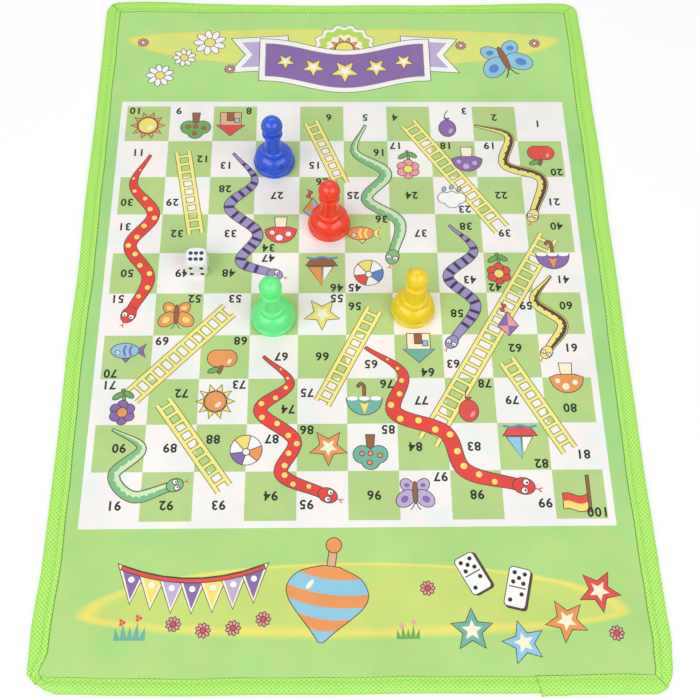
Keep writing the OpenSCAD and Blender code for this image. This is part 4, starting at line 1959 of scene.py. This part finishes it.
@dataclass
class Seam:
    """The thread that sews the tape to the mat, as rows of stitches."""

    binding: Binding
    length: float = 2.5
    half_wide: float = 0.24
    half_high: float = 0.17
    sunk: float = 0.1
    clear: float = 1.5
    slack: float = 0.01
    bluntness: float = 0.02
    rings: int = 5
    sides: int = 6

    def stitch(self, middle: Vector, ahead: Vector) -> list[Vector]:
        """Gives the points of one stitch, whose ends dip into the tape.

        Args:
            middle: Its middle.
            ahead: The way it runs.

        Returns:
            The points, ring by ring.
        """
        side, high = Vector((-ahead.y, ahead.x, 0.0)) * self.half_wide, Vector((0.0, 0.0, self.half_high))
        points = []
        for ring in range(self.rings):
            share = 2 * ring / (self.rings - 1) - 1
            swell = math.sqrt(1 + self.bluntness - share * share)
            for k in range(self.sides):
                x, y = polar(swell, 360 * k / self.sides)
                points.append(middle + ahead * (share * self.length / 2) + side * x + high * y)
        return points

    def build(self, name: str, under: bool) -> bpy.types.Object:
        """Makes all stitches of one side.

        Args:
            name: The piece's name.
            under: Whether they lie underneath.

        Returns:
            The piece.
        """
        tape = self.binding
        points, faces = [], []
        for run in tape.runs():
            ahead = run.spin() @ Vector((0.0, 1.0, 0.0))
            low = run.start if run.start_corner or under else tape.lap_end
            high = run.end if run.end_corner or under else tape.lap_end
            along = low + self.clear
            while along < high - self.clear + self.slack:
                outer, extra = tape.sway(run, along)
                inward = tape.under_width - tape.under_inset if under else tape.top_width + extra - run.seam
                lift = tape.lap_height(along) if run.lapped and along < tape.lap_fade else 0.0
                height = self.half_high if under else tape.fold * 2 - self.sunk + lift
                straight = Vector((run.reach + outer - inward, along, height))
                faces += tube_faces(self.rings, self.sides, len(points))
                points += self.stitch(tape.sewing.moved(run.spin() @ straight), ahead)
                along += tape.stitch
        return mesh_piece(name, points, faces, SEWING_THREAD.material())


@dataclass(frozen=True)
class PawnShape:
    """A pawn's turned profile, with the soft edges of a moulding."""

    foot_radius: float = 11.9
    foot_height: float = 3.4
    foot_edge: float = 0.9
    undercut: float = 0.3
    dome_radius: float = 11.2
    dome_wall: float = 1.4
    dome_top_radius: float = 7.1
    dome_height: float = 7.8
    dome_bulge: float = 7.1
    shoulder_radius: float = 6.9
    shoulder_top_radius: float = 5.9
    shoulder_height: float = 3.4
    shoulder_bulge: float = 2.6
    neck_foot_radius: float = 5.5
    neck_radius: float = 4.1
    neck_height: float = 11.3
    neck_steps: int = 14
    collar_radius: float = 5.75
    collar_flare: float = 0.8
    collar_rim: float = 0.9
    bead: float = 0.85
    stem_radius: float = 4.4
    stem_height: float = 1.5
    stem_gap: float = 0.1
    head_radius: float = 6.0
    wall: float = 1.5
    neck_plug: float = 4.0
    fineness: float = 0.1
    sharpest_bend: float = 7.0
    longest_stretch: float = 1.6
    segments: int = 80

    @staticmethod
    def ball(low: Point, high: Point, inset: float, steps: int = 16) -> list[Vector]:
        """Gives the side of a ball through two points of the profile.

        Args:
            low: Radius and height of the lower point.
            high: Radius and height of the upper point.
            inset: How much smaller the ball is made.
            steps: How many stretches it has.

        Returns:
            Points from the lower level to the upper one.
        """
        (r1, z1), (r2, z2) = low, high
        centre = (r2 * r2 + z2 * z2 - r1 * r1 - z1 * z1) / (2 * (z2 - z1))
        radius = math.hypot(r1, z1 - centre) - inset
        levels = [z1 + (z2 - z1) * k / steps for k in range(steps + 1)]
        return [Vector((math.sqrt(max(0.0, radius ** 2 - (z - centre) ** 2)), z)) for z in levels]

    @staticmethod
    def bulge(low: Point, high: Point, radius: float, steps: int = 14) -> list[Vector]:
        """Gives an arc of the profile that bulges outwards.

        Args:
            low: Radius and height of the lower end.
            high: Radius and height of the upper end.
            radius: The arc's own radius.
            steps: How many stretches it has.

        Returns:
            Points from the upper end to the lower one.
        """
        start, end = Vector(low), Vector(high)
        chord = end - start
        outwards = Vector((chord.y, -chord.x)).normalized()
        centre = (start + end) / 2 - outwards * math.sqrt(radius ** 2 - chord.length_squared / 4)
        first, last = (math.degrees(math.atan2(*(spot - centre).yx)) for spot in (end, start))
        return arc(centre, radius, first, last - first, steps)

    def corners(self) -> list[Vector]:
        """Gives the sharp profile, from the top of the head to the roof of the hollow.

        Returns:
            Radius and height of each point.
        """
        shoulder_z = self.foot_height + self.dome_height
        neck_z = shoulder_z + self.shoulder_height
        collar_z = neck_z + self.neck_height
        stem_z = collar_z + self.collar_flare + self.collar_rim
        drop = math.acos(self.stem_radius / self.head_radius)
        head_z = stem_z + self.stem_height + self.head_radius * math.sin(drop)
        points = arc((0, head_z), self.head_radius, 90, -90 - math.degrees(drop), 40)
        points.append(Vector((self.stem_radius, stem_z + self.stem_gap)))
        bead_middle = self.collar_radius - self.bead, stem_z - self.bead
        points += arc(bead_middle, self.bead, 80, -150, 12) + [Vector((self.neck_radius, collar_z))]
        spread = self.neck_foot_radius - self.neck_radius
        hollow = (spread ** 2 + self.neck_height ** 2) / (2 * spread)
        for step in range(1, self.neck_steps + 1):
            gone = self.neck_height * step / self.neck_steps
            reach = self.neck_radius + hollow - math.sqrt(hollow ** 2 - gone ** 2)
            points.append(Vector((reach, collar_z - gone)))
        shoulder = (self.shoulder_radius, shoulder_z), (self.shoulder_top_radius, neck_z)
        dome = (self.dome_radius, self.foot_height + self.dome_wall), (self.dome_top_radius, shoulder_z)
        points += self.bulge(*shoulder, self.shoulder_bulge) + self.bulge(*dome, self.dome_bulge)
        edge_middle = self.foot_radius - self.foot_edge, self.foot_height - self.foot_edge
        points.append(Vector((self.dome_radius, self.foot_height)))
        points += arc(edge_middle, self.foot_edge, 90, -110, 9)
        inside = [spot for spot in self.ball(*dome, self.wall) if spot.y < shoulder_z - self.wall]
        points += [Vector((self.foot_radius - self.undercut, 0.0)), Vector((inside[0].x, 0.0)), *inside]
        roof_z = collar_z - self.neck_plug
        roof = (self.neck_foot_radius - self.wall, inside[-1].y), (self.neck_radius - self.wall, roof_z)
        return points + [Vector(spot) for spot in (*roof, (0.0, roof_z))]

    def softened(self) -> list[Vector]:
        """Rounds the profile's corners and leaves out points that its curves don't need.

        Returns:
            Radius and height of each point that is left.
        """
        fine = []
        sharp = self.corners()
        for start, end in zip(sharp, sharp[1:]):
            count = max(1, round((end - start).length / self.fineness))
            fine += [start.lerp(end, k / count) for k in range(count)]
        fine.append(sharp[-1])
        for _ in range(2):
            inner = [sum(fine[k - 2:k + 3], Vector((0, 0))) / 5 for k in range(2, len(fine) - 2)]
            fine = fine[:2] + inner + fine[-2:]
        kept = [fine[0]]
        bend = 0.0
        for before, here, after in zip(fine, fine[1:], fine[2:]):
            bend += abs((here - before).angle_signed(after - here, 0.0))
            if bend > math.radians(self.sharpest_bend) or (here - kept[-1]).length > self.longest_stretch:
                kept.append(here)
                bend = 0.0
        return kept + [fine[-1]]

    def lathe(self, name: str, foot: Vector, material: bpy.types.Material) -> bpy.types.Object:
        """Turns the profile about its axis.

        Args:
            name: The piece's name.
            foot: The middle of the foot's underside, in metres.
            material: The material.

        Returns:
            The piece.
        """
        profile, base, count = self.softened()[::-1], foot / MM, self.segments
        points = []
        for spot in profile[1:-1]:
            ring = [polar(spot.x, 360 * k / count) for k in range(count)]
            points += [base + Vector((*way, spot.y)) for way in ring]
        faces = tube_faces(len(profile) - 2, count)[:-2]
        roof, top = len(points), len(points) - count
        points += [base + Vector((0.0, 0.0, spot.y)) for spot in (profile[0], profile[-1])]
        for k in range(count):
            after = (k + 1) % count
            faces += [(roof, after, k), (roof + 1, top + k, top + after)]
        return mesh_piece(name, points, faces, material)


@dataclass
class Pieces:
    """The four pawns, and the die, which keeps its CAD shape."""

    shape: PawnShape = field(default_factory=PawnShape)
    pawns: tuple[tuple[str, Ink, float], ...] = (
        ("blue", Ink.BLUE_PLASTIC, 0.0),
        ("red", Ink.RED_PLASTIC, 0.05),
        ("green", Ink.GREEN_PLASTIC, 0.35),
        ("yellow", Ink.YELLOW_PLASTIC, 0.2),
    )

    def build(self) -> None:
        """Makes the pawns, each from its colour's name, ink and milkiness, and dresses the die."""
        for name, ink, milky in self.pawns:
            node, slot = f"pawn_{name}", f"{name}_plastic"
            low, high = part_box(node)
            foot = Vector(((low.x + high.x) / 2, (low.y + high.y) / 2, low.z))
            finish = GlossPlastic(slot, ink, foot.y, milky)
            put(self.shape.lathe(f"turned_{node}", foot, finish.material()), f"{name}_pawn", slot, node)
        low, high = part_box("die")
        finish = DiePlastic((low + high) / 2, (high.x - low.x) / MM / 2)
        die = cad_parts["die"]
        die.data.materials.clear()
        die.data.materials.append(finish.material())
        LOG.info("dressed %s", die.name)


@dataclass
class Studio:
    """The floor, the lamps and the camera."""

    lens: float = 55.04
    camera_at: Triple = (-11.45, -289.17, 509.0)
    camera_turn: Triple = (26.689, -0.989, -0.754)
    floor_side: float = 24000.0
    floor_drop: float = 0.3
    floor_shade: Linear = (0.96, 0.96, 0.96, 1.0)
    surround: float = 0.18
    floor_cloud: float = 400.0
    floor_glow: float = 1.1
    floor_fade: Point = (0.5, 3.0)
    near_share: float = 0.5
    far_share: float = 0.4
    lamps: tuple[tuple[str, Triple, Point, float], ...] = (
        ("left", (-735, -516, 898), (1150, 760), 8.6),
        ("right", (710, -550, 898), (1150, 760), 7.95),
        ("behind", (-40, 760, 960), (900, 520), 3.4),
    )

    def build(self) -> None:
        """Sets up everything round the object."""
        self.make_floor()
        self.make_world()
        for name, at, size, power in self.lamps:
            self.add_lamp(name, at, size, power)
        self.add_camera()
        bpy.context.scene.view_settings.view_transform = "Standard"

    def make_floor(self) -> None:
        """Makes the floor, which looks white to the camera but for the object's shadow."""
        half = self.floor_side / 2
        points = [(x * half, y * half, -self.floor_drop) for x, y in ((-1, -1), (1, -1), (1, 1), (-1, 1))]
        nodes = Nodes("floor")
        paint = nodes.mix(nodes.noise(self.floor_cloud), Ink.FLOOR, self.floor_shade)
        matt = nodes.node("ShaderNodeBsdfDiffuse", {}, {"Color": paint})
        glow = nodes.node("ShaderNodeEmission", {}, {"Color": LIGHT, "Strength": self.floor_glow})
        x, y, _ = nodes.parts(nodes.place())
        far = (x * x + y * y).rise(*self.floor_fade)
        share = (self.near_share + self.far_share * far) * nodes.shown()
        both = nodes.node("ShaderNodeMixShader", {}, {0: share, 1: matt, 2: glow})
        nodes.node("ShaderNodeOutputMaterial", {}, {"Surface": both})
        mesh_piece("floor", points, [(0, 1, 2, 3)], nodes.owner)

    def make_world(self) -> None:
        """Gives an even surround, white where it is seen and dimmer as a light."""
        world = bpy.data.worlds.new("studio")
        bpy.context.scene.world = world
        nodes = Nodes(world.name, world)
        level = self.surround + (1.0 - self.surround) * nodes.shown()
        white = nodes.node("ShaderNodeBackground", {}, {"Color": LIGHT, "Strength": level})
        nodes.node("ShaderNodeOutputWorld", {}, {"Surface": white})

    def add_lamp(self, name: str, at: Triple, size: Point, power: float) -> None:
        """Adds a soft lamp that faces the mat.

        Args:
            name: Its name.
            at: Its place, in millimetres.
            size: Its width and height, in millimetres.
            power: Its power, in watts.
        """
        lamp = bpy.data.lights.new(name, "AREA")
        lamp.shape = "RECTANGLE"
        lamp.size, lamp.size_y = size[0] * MM, size[1] * MM
        lamp.energy = power
        carrier = bpy.data.objects.new(name, lamp)
        carrier.location = Vector(at) * MM
        carrier.rotation_euler = (-Vector(at)).to_track_quat("-Z", "Y").to_euler()
        bpy.context.scene.collection.objects.link(carrier)

    def add_camera(self) -> None:
        """Adds the camera at the photograph's viewing angle."""
        camera = bpy.data.cameras.new("camera")
        camera.lens = self.lens
        camera.sensor_width = 36.0
        camera.clip_start = 0.01
        carrier = bpy.data.objects.new("camera", camera)
        carrier.location = Vector(self.camera_at) * MM
        carrier.rotation_euler = [math.radians(angle) for angle in self.camera_turn]
        bpy.context.scene.collection.objects.link(carrier)
        bpy.context.scene.camera = carrier


def put(piece: bpy.types.Object, body: str, slot: str, *nodes: str) -> bpy.types.Object:
    """Makes a piece ride on a body.

    Args:
        piece: The piece.
        body: The body that carries it.
        slot: Its material slot; not used.
        nodes: The CAD nodes that it stands for.

    Returns:
        The piece.
    """
    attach(piece, body)
    if nodes:
        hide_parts(*nodes)
    LOG.info("made %s with %d faces", piece.name, len(piece.data.polygons))
    return piece


@dataclass
class Mat:
    """The mat: its layers, the tape round its edge and the seam. Sizes are in millimetres."""

    edge_gap: float = 0.6
    side_margin: float = 20.3
    grid_shift: float = -1.3
    squares: int = 10

    def build(self) -> None:
        """Makes the pieces of the mat in their order."""
        low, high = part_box("printed_sheet")
        half_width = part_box("binding_right")[1].x / MM
        half_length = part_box("binding_back")[1].y / MM
        width, length = (side / MM - 2 * self.edge_gap for side in (high.x - low.x, high.y - low.y))
        layers = Layers(width, length, low.z / MM, high.z / MM)
        square = (2 * half_width - 2 * self.side_margin) / self.squares
        print_piece = put(layers.make_print(square, self.grid_shift), "mat", "printed_cloth", "printed_sheet")
        felt = put(layers.make_felt(), "mat", "felt", "core")
        backing = put(layers.make_backing(), "mat", "backing_cloth", "backing_sheet")
        binding = Binding(half_width, half_length)
        for run, piece in binding.build():
            put(piece, "mat", "tape", run.node)
            flat = (binding.unfolded() * MM, binding.length_of(run) * MM)
        seam = Seam(binding)
        put(seam.build("seam_thread_top", False), "mat", "tape")
        put(seam.build("seam_thread_under", True), "mat", "tape")


def main() -> None:
    """Sets up the studio, builds the mat, and dresses the pawns and the die."""
    logging.basicConfig(level=logging.INFO, format="%(name)s: %(message)s")
    for assembly in (Studio(), Mat(), Pieces()):
        assembly.build()


if __name__ == "__main__":
    main()
